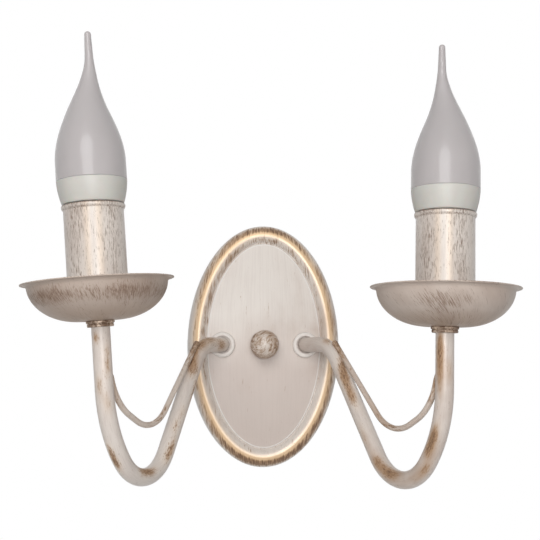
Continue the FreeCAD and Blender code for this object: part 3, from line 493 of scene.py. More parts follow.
def aged_paint(name, fine=(900.0, 900.0, 60.0), turns=((0.0, 0.0, 0.0),), threshold=0.60, pull=0.34, cluster=0.30,
               glaze_share=0.55, speck=0.0, grain=0.2, roughness=0.36, tint=0.4, coat=0.12, shadow="ivory_grey",
               stain="glaze", seed=0.0):
    """Ivory paint with a wiped glaze. Long fine noise plus broad noise plus the wear and shade mask, cut at a
    threshold, gives the strokes, and a higher cut their dark cores; that mask also carries painted shade. The soil
    and shade mask greys the paint where it is positive, for soil and for painted shade, and whitens it where it is
    negative, for rubbed paint and for painted highlights, and the gilt and glint mask turns it to gold, for gilding
    and for a painted glint."""
    f = Finish(name)
    worn, gilt, soil = f.attribute("worn"), f.attribute("gilt"), f.attribute("soil")
    shift = (seed, 0.37 * seed, 0.71 * seed)
    layers = [f.noise(f.stretched(fine, turn, shift), 1.0, 4.0, 0.62, 0.25) for turn in turns]
    hair = layers[0]
    for layer in layers[1:]:
        hair = f.number("MAXIMUM", hair, f.number("SUBTRACT", layer, 0.03))
    wide = f.stretched((1.0, 1.0, 0.6), shift=shift)
    broad, wash = f.noise(wide, 110.0, 3.0, 0.6), f.noise(wide, 34.0, 4.0, 0.6)
    level = f.number("MULTIPLY_ADD", f.number("SUBTRACT", broad, 0.5), cluster, hair)
    level = f.number("MULTIPLY_ADD", worn, pull, level)
    strokes = f.step(level, threshold + 0.06, threshold + 0.17)
    cores = f.step(level, threshold + 0.16, threshold + 0.30)
    soft = f.number("MULTIPLY", f.step(f.number("MULTIPLY_ADD", worn, 0.45, wash), 0.55, 1.0), glaze_share)
    ground = f.blend(f.step(wash, 0.36, 0.70, 0.0, tint), colour("ivory"), colour("ivory_grey"))
    # Painted shade and soil: where the soil and shade mask is positive the paint goes to the shadow colour.
    ground = f.blend(f.number("MULTIPLY", soil, 1.0, clamp=True), ground, colour(shadow))
    lines = f.noise(f.stretched((fine[0] * 1.5, fine[1] * 1.5, fine[2] * 0.4), turns[0], shift), 1.0, 2.0, 0.5)
    ground = f.blend(f.step(lines, 0.44, 0.66, 0.0, grain), ground, tuple(0.85 * c for c in colour("ivory_grey")))
    # Painted highlight and rubbed paint: where that mask is negative the paint goes white.
    ground = f.blend(f.number("MULTIPLY", soil, -1.0, clamp=True), ground, colour("white_and_highlight"))
    # Gold for gilding, and for a painted glint beside a highlight.
    ground = f.blend(f.number("MULTIPLY", gilt, 0.85), ground, colour("gilt"))
    glazed = f.blend(soft, ground, colour(stain))
    paint = f.blend(f.number("MULTIPLY", strokes, 0.66), glazed, colour(stain))
    paint = f.blend(f.number("MULTIPLY", cores, 0.85), paint, colour("umber"))
    if speck > 0:
        dots = f.noise(f.stretched((1.0, 1.0, 1.0), shift=shift), 620.0, 2.0, 0.5)
        paint = f.blend(f.number("MULTIPLY", f.step(dots, 0.66, 0.74), speck), paint, colour("umber"))
    rough = f.number("MULTIPLY_ADD", strokes, 0.18, f.step(wash, 0.3, 0.7, roughness - 0.03, roughness + 0.05))
    rough = f.number("MULTIPLY_ADD", gilt, 0.16, rough)
    height = f.number("MULTIPLY_ADD", hair, 0.35, f.number("MULTIPLY", wash, 0.5))
    metal = f.number("MULTIPLY", gilt, 0.55, clamp=True)
    return f.close({"Base Color": paint, "Roughness": rough, "Metallic": metal,
                    "Normal": f.bump(height, 0.10, 0.0006)},
                   inputs={"Specular IOR Level": 0.22, "Coat Weight": coat, "Coat Roughness": 0.30})


def bare_metal(name, tone, roughness, brush, stain, where="object"):
    """Plain metal: long fine noise moves its roughness and bump, broad noise dulls it in places."""
    f = Finish(name, where)
    lines = f.noise(f.stretched(brush), 1.0, 3.0, 0.5)
    dull = f.noise(f.place, 160.0, 3.0, 0.6)
    paint = f.blend(f.step(dull, 0.45, 0.75, 0.0, 0.35), tone, stain)
    rough = f.number("MULTIPLY_ADD", lines, 0.22, f.step(dull, 0.3, 0.7, roughness - 0.08, roughness + 0.04))
    return f.close({"Base Color": paint, "Roughness": rough, "Normal": f.bump(lines, 0.12, 0.0003)},
                   inputs={"Metallic": 1.0})


def moulded(name, tone, roughness, grain=1400.0, darker=0.85, where="object", inputs=None):
    """Moulded plastic or rubber: a fine grain in bump and roughness, and a slight change of tone."""
    f = Finish(name, where)
    fine = f.noise(f.place, grain, 2.0, 0.5)
    slow = f.noise(f.place, 60.0, 3.0, 0.55)
    paint = f.blend(f.step(slow, 0.35, 0.7), tone, tuple(darker * c for c in tone))
    rough = f.number("MULTIPLY_ADD", fine, 0.12, roughness - 0.05)
    return f.close({"Base Color": paint, "Roughness": rough, "Normal": f.bump(fine, 0.08, 0.0002)},
                   inputs=inputs)


def frosted_dome():
    """The bulb's frosted shell: a little light passes through, and its tone changes slowly from foot to tip."""
    f = Finish("frosted dome")
    slow = f.noise(f.place, 45.0, 3.0, 0.5)
    fine = f.noise(f.place, 2400.0, 2.0, 0.5)
    tone = colour("frost")
    tip = f.attribute("tip")
    paint = f.blend(f.step(slow, 0.35, 0.7, 0.0, 0.25), tone, tuple(0.93 * c for c in tone))
    paint = f.blend(tip, paint, tuple(min(1.0, 1.04 * c) for c in tone))
    rough = f.number("MULTIPLY_ADD", fine, 0.06, 0.27)
    return f.close({"Base Color": paint, "Roughness": rough, "Normal": f.bump(fine, 0.03, 0.0001)},
                   inputs={"Specular IOR Level": 0.3, "Coat Weight": 0.40, "Coat Roughness": 0.12,
                           "Subsurface Weight": 0.35, "Subsurface Scale": 0.004,
                           "Subsurface Radius": (1.0, 0.9, 0.9)})


def dress(piece, material):
    """Give a piece this one material."""
    piece.data.materials.clear()
    piece.data.materials.append(material)


def masks(shape, worn=0.0, gilt=0.0, soil=0.0):
    """The three masks of the aged paint for a grid of points."""
    grids = {"worn": (worn, 0.0), "gilt": (gilt, 0.0), "soil": (soil, -1.0)}
    return {name: np.broadcast_to(np.clip(value, low, 1), shape) for name, (value, low) in grids.items()}


def finish_piece(piece, material, body, slot, *nodes):
    """Dress a new piece, hide the nodes it stands for and hang it on the body that carries it; slot is not used."""
    dress(piece, material)
    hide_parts(*nodes)
    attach(piece, body)


# ---------------------------------------------------------------- plate
FIELD_HEIGHT, FIELD_INSET = 0.01325, 0.0165


def plate_section(sizes):
    """The plate's section as (inset, height): step, cove, bead and side band outside, and the same inside."""
    def side(grow):
        foot = (grow, 0.0)
        band = (0.0008 + grow, 0.0050)
        crest = (0.0074, 0.0160 - grow)
        cove = (0.0130, 0.0121 - grow)
        step = (0.0143, FIELD_HEIGHT - grow)
        rise = (band[0] + 0.25 * (crest[0] - band[0]), band[1] + 0.72 * (crest[1] - band[1]))
        fall = (crest[0] + 0.56 * (cove[0] - crest[0]), cove[1] + 0.80 * (crest[1] - cove[1]))
        groove = [[0.01318, cove[1] + 0.0001], [0.01360, cove[1] + 0.00058], [0.0140, step[1] - 0.0001]]
        flat = [[inset, step[1]] for inset in (step[0], 0.0145, 0.0147, 0.0149, FIELD_INSET)]
        return np.concatenate([[foot, (band[0], band[1] - 0.0006)], arc_through(band, rise, crest, 26),
                               arc_through(crest, fall, cove, 20)[1:], groove, flat])

    return side(0.0), side(sizes.plate_sheet)


def plate_grid(sizes, around=384):
    """The oval shell: point(t, inset, h) = (a cos t, b sin t) minus inset times the outward normal, at height h;
    the flat field goes to the centre by scaling its first oval."""
    turn = round_angles(around)
    a, b = sizes.plate_half_width, sizes.plate_half_height
    rim = np.stack([a * np.cos(turn), b * np.sin(turn)], axis=-1)
    normal = np.stack([np.cos(turn) / a, np.sin(turn) / b], axis=-1)
    normal /= np.linalg.norm(normal, axis=1, keepdims=True)
    outer, inner = plate_section(sizes)
    shares = np.linspace(0, 0.97, 18)
    rows, insets = [], []

    def oval(inset, height, scale=1.0):
        flat = (rim - inset * normal) * scale
        rows.append(np.stack([flat[:, 0], np.full(around, -height), flat[:, 1]], axis=-1))
        insets.append(inset if scale == 1.0 else FIELD_INSET + (1 - scale) * 0.05)

    for scale in shares:
        oval(outer[-1][0], outer[-1][1], scale)
    for inset, height in outer[::-1]:
        oval(inset, height)
    for inset, height in inner:
        oval(inset, height)
    for scale in shares[::-1]:
        oval(inner[-1][0], inner[-1][1], scale)
    return np.array(rows), np.array(insets), len(shares) + len(outer)


class SCONCE_OT_plate(bpy.types.Operator):
    """Oval plate: a swept, moulded edge round a flat field, worn on its side band and in its cove; painted light
    on the band's left side, painted shade low on the field and a painted highlight on the step edge
    """
    bl_idname = "sconce.plate"
    bl_label = "Back plate"

    def execute(self, context):
        sizes = context.scene.sconce_sizes
        points, insets, front = plate_grid(sizes)
        x, z = points[..., 0], points[..., 2]
        swell = 0.118  # the strokes follow an oval of this half height
        lay = np.stack([x / np.sqrt(1 - (z / swell) ** 2), points[..., 1], z], axis=-1)
        inset = insets[:, None]
        height, across = z / sizes.plate_half_height, x / sizes.plate_half_width
        band, flank, cove = bell(inset, 0.0034, 0.0021), bell(inset, 0.0052, 0.0010), bell(inset, 0.0112, 0.0022)
        upper_left = held(0.5 + 0.62 * height - 0.42 * across)
        # Painted light: the band's glaze is thinnest at the left middle, where light falls on the side wall.
        ends = 0.20 + 0.66 * np.abs(height) ** 1.6 + 0.30 * held(across - height)
        worn = band * held(ends) + 0.34 * flank
        worn = worn + cove * held(0.18 + 0.42 * upper_left) + 0.04 * (inset > 0.0146)
        gilt = bell(inset, 0.0066, 0.0026) + 0.30 * band * np.abs(height)
        field = held((inset - 0.0143) / 0.0005)
        # Painted shade: the field is painted darker towards its bottom. Painted highlight: a white line on the step
        # edge.
        soil = field * 0.75 * held(0.55 - 2.2 * height) - 1.1 * bell(inset, 0.0142, 0.00035)
        rows = np.arange(len(points))[:, None]
        seen = (rows < front).astype(float)
        piece = put_surface("plate_shell", points, lay, masks(x.shape, worn * seen, gilt * seen, soil * seen))
        material = aged_paint("aged plate", fine=(1050.0, 220.0, 110.0), threshold=0.60, pull=0.38, cluster=0.26,
                              glaze_share=0.55, grain=0.11, tint=0.25, roughness=0.32, coat=0.25)
        finish_piece(piece, material, "fixture", "ivory_patina", "back_plate")
        return {"FINISHED"}


# ---------------------------------------------------------------- ball nut and rosettes
def out_of_wall(points, x=0.0):
    """Turn a piece made on Z so that its Z points out of the wall."""
    return np.stack([points[..., 0] + x, -points[..., 2], points[..., 1]], axis=-1)


class SCONCE_OT_ball(bpy.types.Operator):
    """Ball nut on its short neck, brushed all over with short strokes round its middle"""
    bl_idname = "sconce.ball"
    bl_label = "Ball nut"

    def execute(self, context):
        sizes = context.scene.sconce_sizes
        radius, base, neck_radius = sizes.ball_radius, 0.01385, 0.0050
        centre = base + radius
        turn = np.linspace(0, np.pi - math.asin(neck_radius / radius), 60)
        ball = np.stack([radius * np.sin(turn), centre + radius * np.cos(turn)], axis=1)
        neck = soft_outline([ball[-1], (neck_radius, base), (0.0, base)], [0.0002])
        outline = np.concatenate([ball, neck[1:]])[::-1]
        outline[-1, 0] = 0.0
        local = turned_grid(outline, 112)
        polar = np.arctan2(local[..., 1], local[..., 0])
        away = np.arccos(np.clip((local[..., 2] - centre) / radius, -1, 1))
        swirl = polar + 0.9 * away
        lay = np.stack([radius * np.cos(swirl) * away, radius * np.sin(swirl) * away, radius * away * 0.4], axis=-1)
        worn = 0.55 - 0.40 * bell(away, 0.0, 0.45)
        piece = put_surface("ball_knob", out_of_wall(local), lay, masks(away.shape, worn, 0.08, -0.1))
        material = aged_paint("aged ball", fine=(600.0, 260.0, 200.0), turns=((0.0, 0.0, 0.6), (0.0, 0.0, -0.5)),
                              threshold=0.54, pull=0.30, cluster=0.26, glaze_share=0.35, roughness=0.34, seed=3.1)
        finish_piece(piece, material, "ball_nut_body", "ivory_patina", "ball_nut")
        return {"FINISHED"}


class SCONCE_OT_rosettes(bpy.types.Operator):
    """Turned rings round the tubes, lying on the plate's field"""
    bl_idname = "sconce.rosettes"
    bl_label = "Rosettes"

    def execute(self, context):
        sizes = context.scene.sconce_sizes
        low, high, outer, bore = FIELD_HEIGHT, FIELD_HEIGHT + 0.0030, 0.0088, 0.0059
        outline = soft_outline([(bore, low), (bore, high), (outer, high), (outer, low), (bore, low)],
                               [0.0005, 0.0013, 0.0001], steps=9)[:-1]
        material = aged_paint("clean ivory ring", fine=(500.0, 500.0, 120.0), threshold=0.74, pull=0.2,
                              glaze_share=0.2, grain=0.1, tint=0.15, seed=5.0)
        for side in SIDES:
            local = turned_grid(outline, 112)
            # Painted shadow: darker glaze round the bore, where the tube enters the ring.
            inner = bell(np.hypot(local[..., 0], local[..., 1]), bore, 0.0010)
            points = out_of_wall(local, SIGN[side] * sizes.arm_spacing / 2)
            piece = put_surface(side + "_flange", points, local, masks(inner.shape, 0.35 * inner, 0.0, -0.35),
                                looped=True)
            finish_piece(piece, material, "fixture", "ivory_patina", side + "_rosette")
        return {"FINISHED"}


# ---------------------------------------------------------------- arms
SPOTS = {
    "right": [(0.0373, 0.004, 112, 35, 0.60), (0.0600, 0.009, 105, 26, 0.75), (0.0690, 0.010, 135, 36, 1.00),
              (0.0830, 0.008, 130, 34, 0.85), (0.1100, 0.010, 165, 28, 0.45), (0.1300, 0.006, 158, 40, 0.60),
              (0.1410, 0.008, 145, 40, 0.85), (0.1500, 0.006, 138, 40, 0.45), (0.1762, 0.007, 228, 30, 0.45),
              (0.1880, 0.005, 195, 28, 0.65), (0.1960, 0.007, 200, 27, 1.00), (0.2350, 0.016, 198, 25, 0.88),
              (0.2450, 0.007, 200, 26, 0.65), (0.2315, 0.006, 258, 25, 0.35), (0.1600, 0.030, 190, 70, 0.18)],
    "left": [(0.0185, 0.006, 180, 60, 0.80), (0.0300, 0.006, 125, 60, 0.62), (0.0400, 0.006, 105, 60, 0.78),
             (0.0510, 0.008, 85, 42, 0.90), (0.0600, 0.008, 125, 42, 0.78), (0.0700, 0.009, 190, 25, 0.48),
             (0.0780, 0.007, 200, 22, 0.52), (0.0925, 0.006, 152, 30, 0.50), (0.1031, 0.005, 135, 30, 0.50),
             (0.1165, 0.007, 158, 26, 0.70), (0.1245, 0.007, 150, 30, 0.65), (0.1480, 0.009, 138, 35, 0.88),
             (0.1560, 0.006, 155, 35, 0.52), (0.1755, 0.006, 270, 26, 0.80), (0.1827, 0.006, 280, 24, 0.65),
             (0.2076, 0.006, 225, 30, 0.45), (0.2176, 0.006, 268, 25, 0.40), (0.2262, 0.006, 208, 26, 0.48),
             (0.2351, 0.005, 202, 26, 0.42), (0.2423, 0.003, 272, 20, 0.65)],
}


class SCONCE_OT_tubes(bpy.types.Operator):
    """Bent tubes: a ring carried along the arm's line, threaded at both ends and open for the wires"""
    bl_idname = "sconce.tubes"
    bl_label = "Arm tubes"

    def execute(self, context):
        sizes = context.scene.sconce_sizes
        sides, pitch, threaded, top_length = 64, 0.00075, 0.0052, 0.0089
        fine, coarse, fade, cut = pitch / 10, 0.0009, 0.0008, 0.07
        for side in SIDES:
            line = ArmLine(side, sizes.arm_spacing)
            upper = line.total - 2 * fade
            lengths = np.concatenate([np.arange(0, threaded, fine), np.arange(threaded, upper, coarse),
                                      np.arange(upper, line.total + top_length + 1e-9, fine)])
            points, tangent, beside, top = line.tube_line(np.minimum(lengths, line.total))
            points = points + np.maximum(lengths - line.total, 0)[:, None] * tangent
            in_thread = held((threaded - lengths) / fade) + held((lengths - line.total - 0.0005) / fade)
            wave = 0.5 - 0.5 * np.cos(2 * np.pi * lengths[:, None] / pitch - round_angles(sides))
            grow = 1 - cut * in_thread[:, None] * wave
            outer = swept_grid(points, beside, top, sizes.tube_radius, sides)
            outer = points[:, None, :] + (outer - points[:, None, :]) * grow[..., None]
            few = np.linspace(0, line.total + top_length, 220)
            core, along, core_side, core_top = line.tube_line(np.minimum(few, line.total))
            core = core + np.maximum(few - line.total, 0)[:, None] * along
            inner = swept_grid(core, core_side, core_top, sizes.tube_bore, sides)[::-1]
            grid = np.concatenate([outer, inner])
            lay = np.concatenate([unrolled(lengths, sizes.tube_radius, sides),
                                  unrolled(few, sizes.tube_bore, sides)[::-1]])
            worn = np.concatenate([patches(lengths, sides, SPOTS[side]), np.zeros((len(few), sides))])
            ends = np.concatenate([in_thread, np.zeros(len(few))])[:, None]
            gilt = 0.45 * worn + 0.6 * ends
            piece = put_surface(side + "_tube_bent", grid, lay, masks(worn.shape, worn, gilt, 0.15), looped=True)
            material = aged_paint("aged tube " + side, fine=(1500.0, 1500.0, 380.0),
                                  turns=((0.45, 0.30, 0.0), (-0.35, 0.25, 0.0)), threshold=0.60, pull=0.30,
                                  cluster=0.28, glaze_share=0.75, speck=0.2, grain=0.25, tint=0.45, roughness=0.30,
                                  seed=pick(side, 1.7, 8.3))
            finish_piece(piece, material, "fixture", "ivory_patina", side + "_arm_tube")
        return {"FINISHED"}


class SCONCE_OT_rods(bpy.types.Operator):
    """Thin rods in the bends: a round bar along arcs and straights, swelling into braze at the shoulder and running
    out thin into the leg"""
    bl_idname = "sconce.rods"
    bl_label = "Brazed rods"

    def execute(self, context):
        sizes = context.scene.sconce_sizes
        braze, run_out = 0.0004, 0.009
        pitch = sizes.tube_radius + sizes.rod_radius - 0.0005
        start_angle, fall, rise = (math.radians(a) for a in (30.0, 42.0, 28.0))
        above, low_radius, end_radius, end_run = 0.0284, 0.0280, 0.0330, 0.0010
        for side in SIDES:
            line = ArmLine(side, sizes.arm_spacing)
            reach = line.shoulder + pitch
            start = (line.shoulder_run + reach * math.sin(start_angle),
                     -line.shoulder + reach * math.cos(start_angle))
            hook_start = line.plane((line.reach, 0.0), 0.0, line.runs[:3], np.zeros(1))[2]
            hook_low = hook_start[1] - line.hook * (1 - math.cos(line.fall_angle))
            leave = -line.shoulder + reach * math.cos(fall)
            drop = (leave - low_radius * (1 - math.cos(fall)) - (hook_low + above)) / math.sin(fall)
            first = [(reach * (fall - start_angle), -1 / reach), (drop, 0.0), (low_radius * (fall + rise),
                                                                                1 / low_radius)]
            _, _, low_end, _ = line.plane(start, -start_angle, first, np.zeros(1))
            _, _, leg_top, leg = line.plane((line.reach, 0.0), 0.0, line.runs, np.zeros(1))
            swing = (end_radius * (math.sin(leg) - math.sin(rise)), end_radius * (math.cos(rise) - math.cos(leg)))
            gap = (low_end[0] + swing[0] - leg_top[0], low_end[1] + swing[1] - leg_top[1])
            climb = (-gap[0] * math.sin(leg) + gap[1] * math.cos(leg) - pitch) / math.sin(leg - rise)
            runs = first + [(climb, 0.0), (end_radius * (leg - rise), 1 / end_radius), (end_run, 0.0)]
            total = sum(run[0] for run in runs)
            lengths = np.linspace(0, total, 260)
            place, facing, _, _ = line.plane(start, -start_angle, runs, lengths)
            thin = 0.30 + 0.70 * np.sin(np.pi / 2 * held((total - lengths) / run_out))
            sink = ((sizes.rod_radius + braze) * (1 - thin))[:, None]
            place = place - sink * np.stack([-np.sin(facing), np.cos(facing)], axis=1)
            points, tangent, beside, top = line.in_space(place, facing)
            near = np.minimum(lengths, total - lengths)
            dome = np.sqrt(held(1 - held(1 - near / sizes.rod_radius) ** 2))
            swell = 1 + 0.22 * bell(lengths, 0.0022, 0.0026)
            lump = 1 + 0.035 * np.sin(lengths * 1500.0) * bell(near, 0.0, 0.006)
            radius = sizes.rod_radius * dome * swell * lump * thin
            radius[[0, -1]] = 0.0
            sides = 40
            grid = swept_grid(points, beside, top, radius, sides)
            worn = 0.45 + 0.25 * np.sin(lengths * 95.0 + 1.0) + 0.5 * bell(near, 0.0, 0.012)
            piece = put_surface(side + "_rod_brazed", grid, unrolled(lengths, sizes.rod_radius, sides),
                                masks(grid.shape[:2], worn[:, None], 0.14, 0.35))
            material = aged_paint("aged rod " + side, fine=(900.0, 900.0, 260.0), turns=((0.2, 0.3, 0.0),),
                                  threshold=0.58, pull=0.26, cluster=0.36, glaze_share=0.50, speck=0.3, grain=0.3,
                                  roughness=0.36, seed=pick(side, 2.9, 6.1))
            finish_piece(piece, material, "fixture", "gold_patina", side + "_arm_rod")
        return {"FINISHED"}


# ---------------------------------------------------------------- collars, pans and sleeves
class SCONCE_OT_collars(bpy.types.Operator):
    """Stepped collars that carry the drip pans, rubbed to gold round their middle"""
    bl_idname = "sconce.collars"
    bl_label = "Collars"

    def execute(self, context):
        bore, low, high = 0.00505, -0.0015, 0.0019
        outline = soft_outline([(bore, low), (bore, high), (0.0076, high), (0.0076, 0.0006), (0.0068, 0.0003),
                                (0.0072, -0.0003), (0.0071, low), (bore, low)],
                               [0.0001, 0.0005, 0.0004, 0.0003, 0.0003, 0.0005], steps=7)[:-1]
        for side in SIDES:
            local = turned_grid(outline, 96)
            turn = np.arctan2(local[..., 1], local[..., 0])
            worn = 0.72 + 0.25 * np.sin(5 * turn + 1.2)
            piece = put_surface(side + "_collar_ring", stand(side, local), local,
                                masks(turn.shape, worn, 0.50, 0.4), looped=True)
            material = aged_paint("aged collar " + side, fine=(700.0, 700.0, 500.0), threshold=0.56, pull=0.28,
                                  cluster=0.35, glaze_share=0.6, roughness=0.32, stain="smoke",
                                  seed=pick(side, 0.9, 4.4))
            finish_piece(piece, material, "fixture", "gold_patina", side + "_collar")
        return {"FINISHED"}


def pan_outline(sizes):
    """Bowl section: flat floor, a quarter ellipse and an arc out into the lip, under side then upper side, and how
    many of its rows lie on the under side."""
    sheet, floor, flat = 0.0008, 0.0019, 0.0105
    lip_turn, lip_width = 0.0022, 0.0009
    lip_low = floor + 0.0209 - sheet / 2
    wall_top = lip_low - lip_turn
    drop, reach = lip_low - floor, sizes.pan_radius - flat

    def wall(inward):
        last = math.asin((lip_low - wall_top) / (drop - inward))
        angle = np.linspace(math.pi / 2, last, 54)
        return np.stack([flat + (reach - inward) * np.cos(angle),
                         lip_low - (drop - inward) * np.sin(angle)], axis=1)

    under, over = wall(0.0), wall(sheet)
    quarter = np.linspace(0, math.pi / 2, 12)[1:]

    def lip(corner, radius, rise):
        return np.stack([corner[0] + radius * (1 - np.cos(quarter)), wall_top + rise * np.sin(quarter)], axis=1)

    top = lip_low + sheet
    under_lip = lip(under[-1], lip_turn, lip_turn)
    over_lip = lip(over[-1], top - wall_top, top - wall_top)
    edge = under[-1][0] + lip_turn + lip_width
    half = np.linspace(-math.pi / 2, math.pi / 2, 9)
    bead = np.stack([edge + sheet / 2 * np.cos(half), (lip_low + top) / 2 + sheet / 2 * np.sin(half)], axis=1)
    bore = 0.0052
    base = np.array([[bore, floor], [bore + GUARD, floor], [flat - GUARD, floor]])
    middle = len(bead) // 2 + 1
    below = np.concatenate([base, under, under_lip, bead[:middle]])
    return np.concatenate([below, bead[middle:], over_lip[::-1], over[::-1], (base + [0.0, sheet])[::-1]]), len(below)


class SCONCE_OT_pans(bpy.types.Operator):
    """Spun drip pans with an out-turned lip; the strokes on them slant round the bowl"""
    bl_idname = "sconce.pans"
    bl_label = "Drip pans"

    def execute(self, context):
        sizes = context.scene.sconce_sizes
        outline, under_rows = pan_outline(sizes)
        for side in SIDES:
            local = turned_grid(outline, 192)
            turn = from_camera(side, local)
            radius, z = np.hypot(local[..., 0], local[..., 1]), local[..., 2]
            down = (0.0228 - z) + 0.25 * (0.0374 - radius)
            skew = turn - pick(side, 0.55, 0.20) * down / 0.034
            lay = np.stack([0.034 * np.sin(skew), 0.034 * np.cos(skew), down * 1.25], axis=-1)
            outside = (np.arange(len(outline)) < under_rows)[:, None]
            lip = bell(z, 0.0231, 0.0004)
            # Towards the bottom of the bowl: real glaze in the wear mask, painted shade in the soil and shade mask.
            low = held((0.0100 - z) / 0.0070)
            # Painted shade: each pan's outside is painted darker, the left pan more, and darker still towards the
            # bottom.
            if side == "left":
                worn = bell(z, 0.0150, 0.0056) * (
                    0.62 + 0.25 * bell(turn, -0.75, 0.35) + 0.22 * bell(turn, 0.42, 0.30))
                soil = 0.78 + 0.20 * low
            else:
                worn = bell(z, 0.0135, 0.0065) * (0.16 + 0.42 * bell(turn, 0.02, 0.38))
                soil = 0.55 + 0.45 * low
            worn = np.where(outside, worn + 0.45 * lip + 0.34 * low, 0.15 + 0.3 * lip)
            soil = np.where(outside, soil, 0.22)
            piece = put_surface(side + "_pan_spun", stand(side, local), lay,
                                masks(turn.shape, worn, 0.10 * low + 0.08 * lip, soil), looped=True)
            fine = pick(side, (1800.0, 1800.0, 150.0), (2000.0, 2000.0, 260.0))
            turns = pick(side, ((0.0, 0.0, 0.0), (0.0, 0.5, 0.0)), ((0.0, 0.35, 0.0), (0.0, -0.60, 0.0)))
            material = aged_paint("aged pan " + side, fine, turns, pull=pick(side, 0.40, 0.30), threshold=0.60,
                                  cluster=0.18, glaze_share=0.40, grain=0.14, tint=0.6, roughness=0.46, coat=0.05,
                                  shadow="soiled", stain="smoke", seed=pick(side, 2.2, 7.7))
            finish_piece(piece, material, "fixture", "ivory_patina", side + "_drip_pan")
        return {"FINISHED"}


class SCONCE_OT_sleeves(bpy.types.Operator):
    """Candle sleeves: enamelled tubes with a thin rolled lip and fine lengthwise streaks"""
    bl_idname = "sconce.sleeves"
    bl_label = "Candle sleeves"

    def execute(self, context):
        sizes = context.scene.sconce_sizes
        outer, inner, low, high = sizes.sleeve_radius, sizes.sleeve_radius - 0.0018, 0.0042, 0.0639
        outline = soft_outline([(inner, low), (inner, high), (0.01690, high), (0.0171, high - 0.0006),
                                (0.0169, high - 0.0017), (outer, high - 0.0029), (outer, low), (inner, low)],
                               [0.0005, 0.00035, 0.0004, 0.0004, 0.0008, 0.0004], steps=6)[:-1]
        for side in SIDES:
            local = turned_grid(outline, 160)
            z = local[..., 2]
            turn = from_camera(side, local)
            lip = bell(z, high - 0.0001, 0.0004) + 0.6 * bell(z, high - 0.0024, 0.0003)
            off_middle = np.abs(turn + 0.05)
            upper = 0.25 + 0.30 * bell(off_middle, 0.62, 0.36) + 0.12 * bell(z, 0.057, 0.012)
            outside = (np.hypot(local[..., 0], local[..., 1]) > inner + 0.0008)
            worn = np.where(outside, upper + 0.80 * lip, 0.2)
            # Painted glint: a gold fringe beside the highlight, set by the angle from the camera.
            gilt = 0.30 * bell(off_middle, 0.20, 0.12)
            piece = put_surface(side + "_sleeve_enamel", stand(side, local), local,
                                masks(z.shape, worn, gilt, 0.10), looped=True)
            material = aged_paint("streaked sleeve " + side, fine=(1900.0, 1900.0, 240.0),
                                  turns=((0.05, 0.04, 0.0), (-0.10, 0.06, 0.0)), threshold=0.60, pull=0.26,
                                  cluster=0.14, glaze_share=0.30, grain=0.2, tint=0.35, roughness=0.32, coat=0.3,
                                  stain="smoke", seed=pick(side, 1.3, 9.4))
            finish_piece(piece, material, side + "_sleeve", "candle_ivory", side + "_candle_sleeve")
        return {"FINISHED"}


# ---------------------------------------------------------------- bulbs
RING_FOOT, RING_TOP, RING_WALL = 0.0644, 0.0771, 0.0012
DOME_FOOT, DOME_WALL = 0.0784, 0.0009


def dome_grid(sizes, sides):
    """The dome: r(h) = tail + (full - tail) cos^2 of a quarter turn over its length, over a straight foot; the
    centre moves sideways by a smooth cubic step; a round tip; then the same inside, and a short spigot."""
    tail, taper, wall, foot, tip = 0.0027, 0.0009, DOME_WALL, DOME_FOOT, 0.1581
    full = sizes.bulb_radius

    def centre(h):
        share = held((h - 0.036) / 0.030)
        return -0.0029 * share * share * (3 - 2 * share)

    def radius(h, inward):
        share = held((h - 0.009) / 0.059)
        slim = taper * held((h - 0.058) / 0.021)
        return (tail - slim - inward) + (full - tail) * np.cos(np.pi / 2 * share) ** 2

    seam = RING_TOP - DOME_FOOT
    up = np.linspace(seam, tip - foot, 132)
    ball = np.linspace(0, np.pi / 2, 14)[1:]
    down = np.linspace(tip - foot - 0.001, wall, 90)
    spigot = full - RING_WALL - 0.00005
    end = tail - taper
    r = np.concatenate([[spigot - wall, spigot, spigot, full - 0.0002], radius(up, 0.0), end * np.cos(ball)])
    h = np.concatenate([[-0.0036, -0.0036, seam, seam], up, tip - foot + end * np.sin(ball)])
    r[-1] = 0.0
    inner_r = np.concatenate([[0.0], radius(down, wall), [spigot - wall]])
    inner_h = np.concatenate([[tip - foot - 0.001], down, [wall]])

    def place(r, h):
        grid = wrapped(r[:, None], (foot + h)[:, None], sides)
        grid[..., 0] += centre(h)[:, None]
        return grid

    return place(r, h), place(inner_r, inner_h)


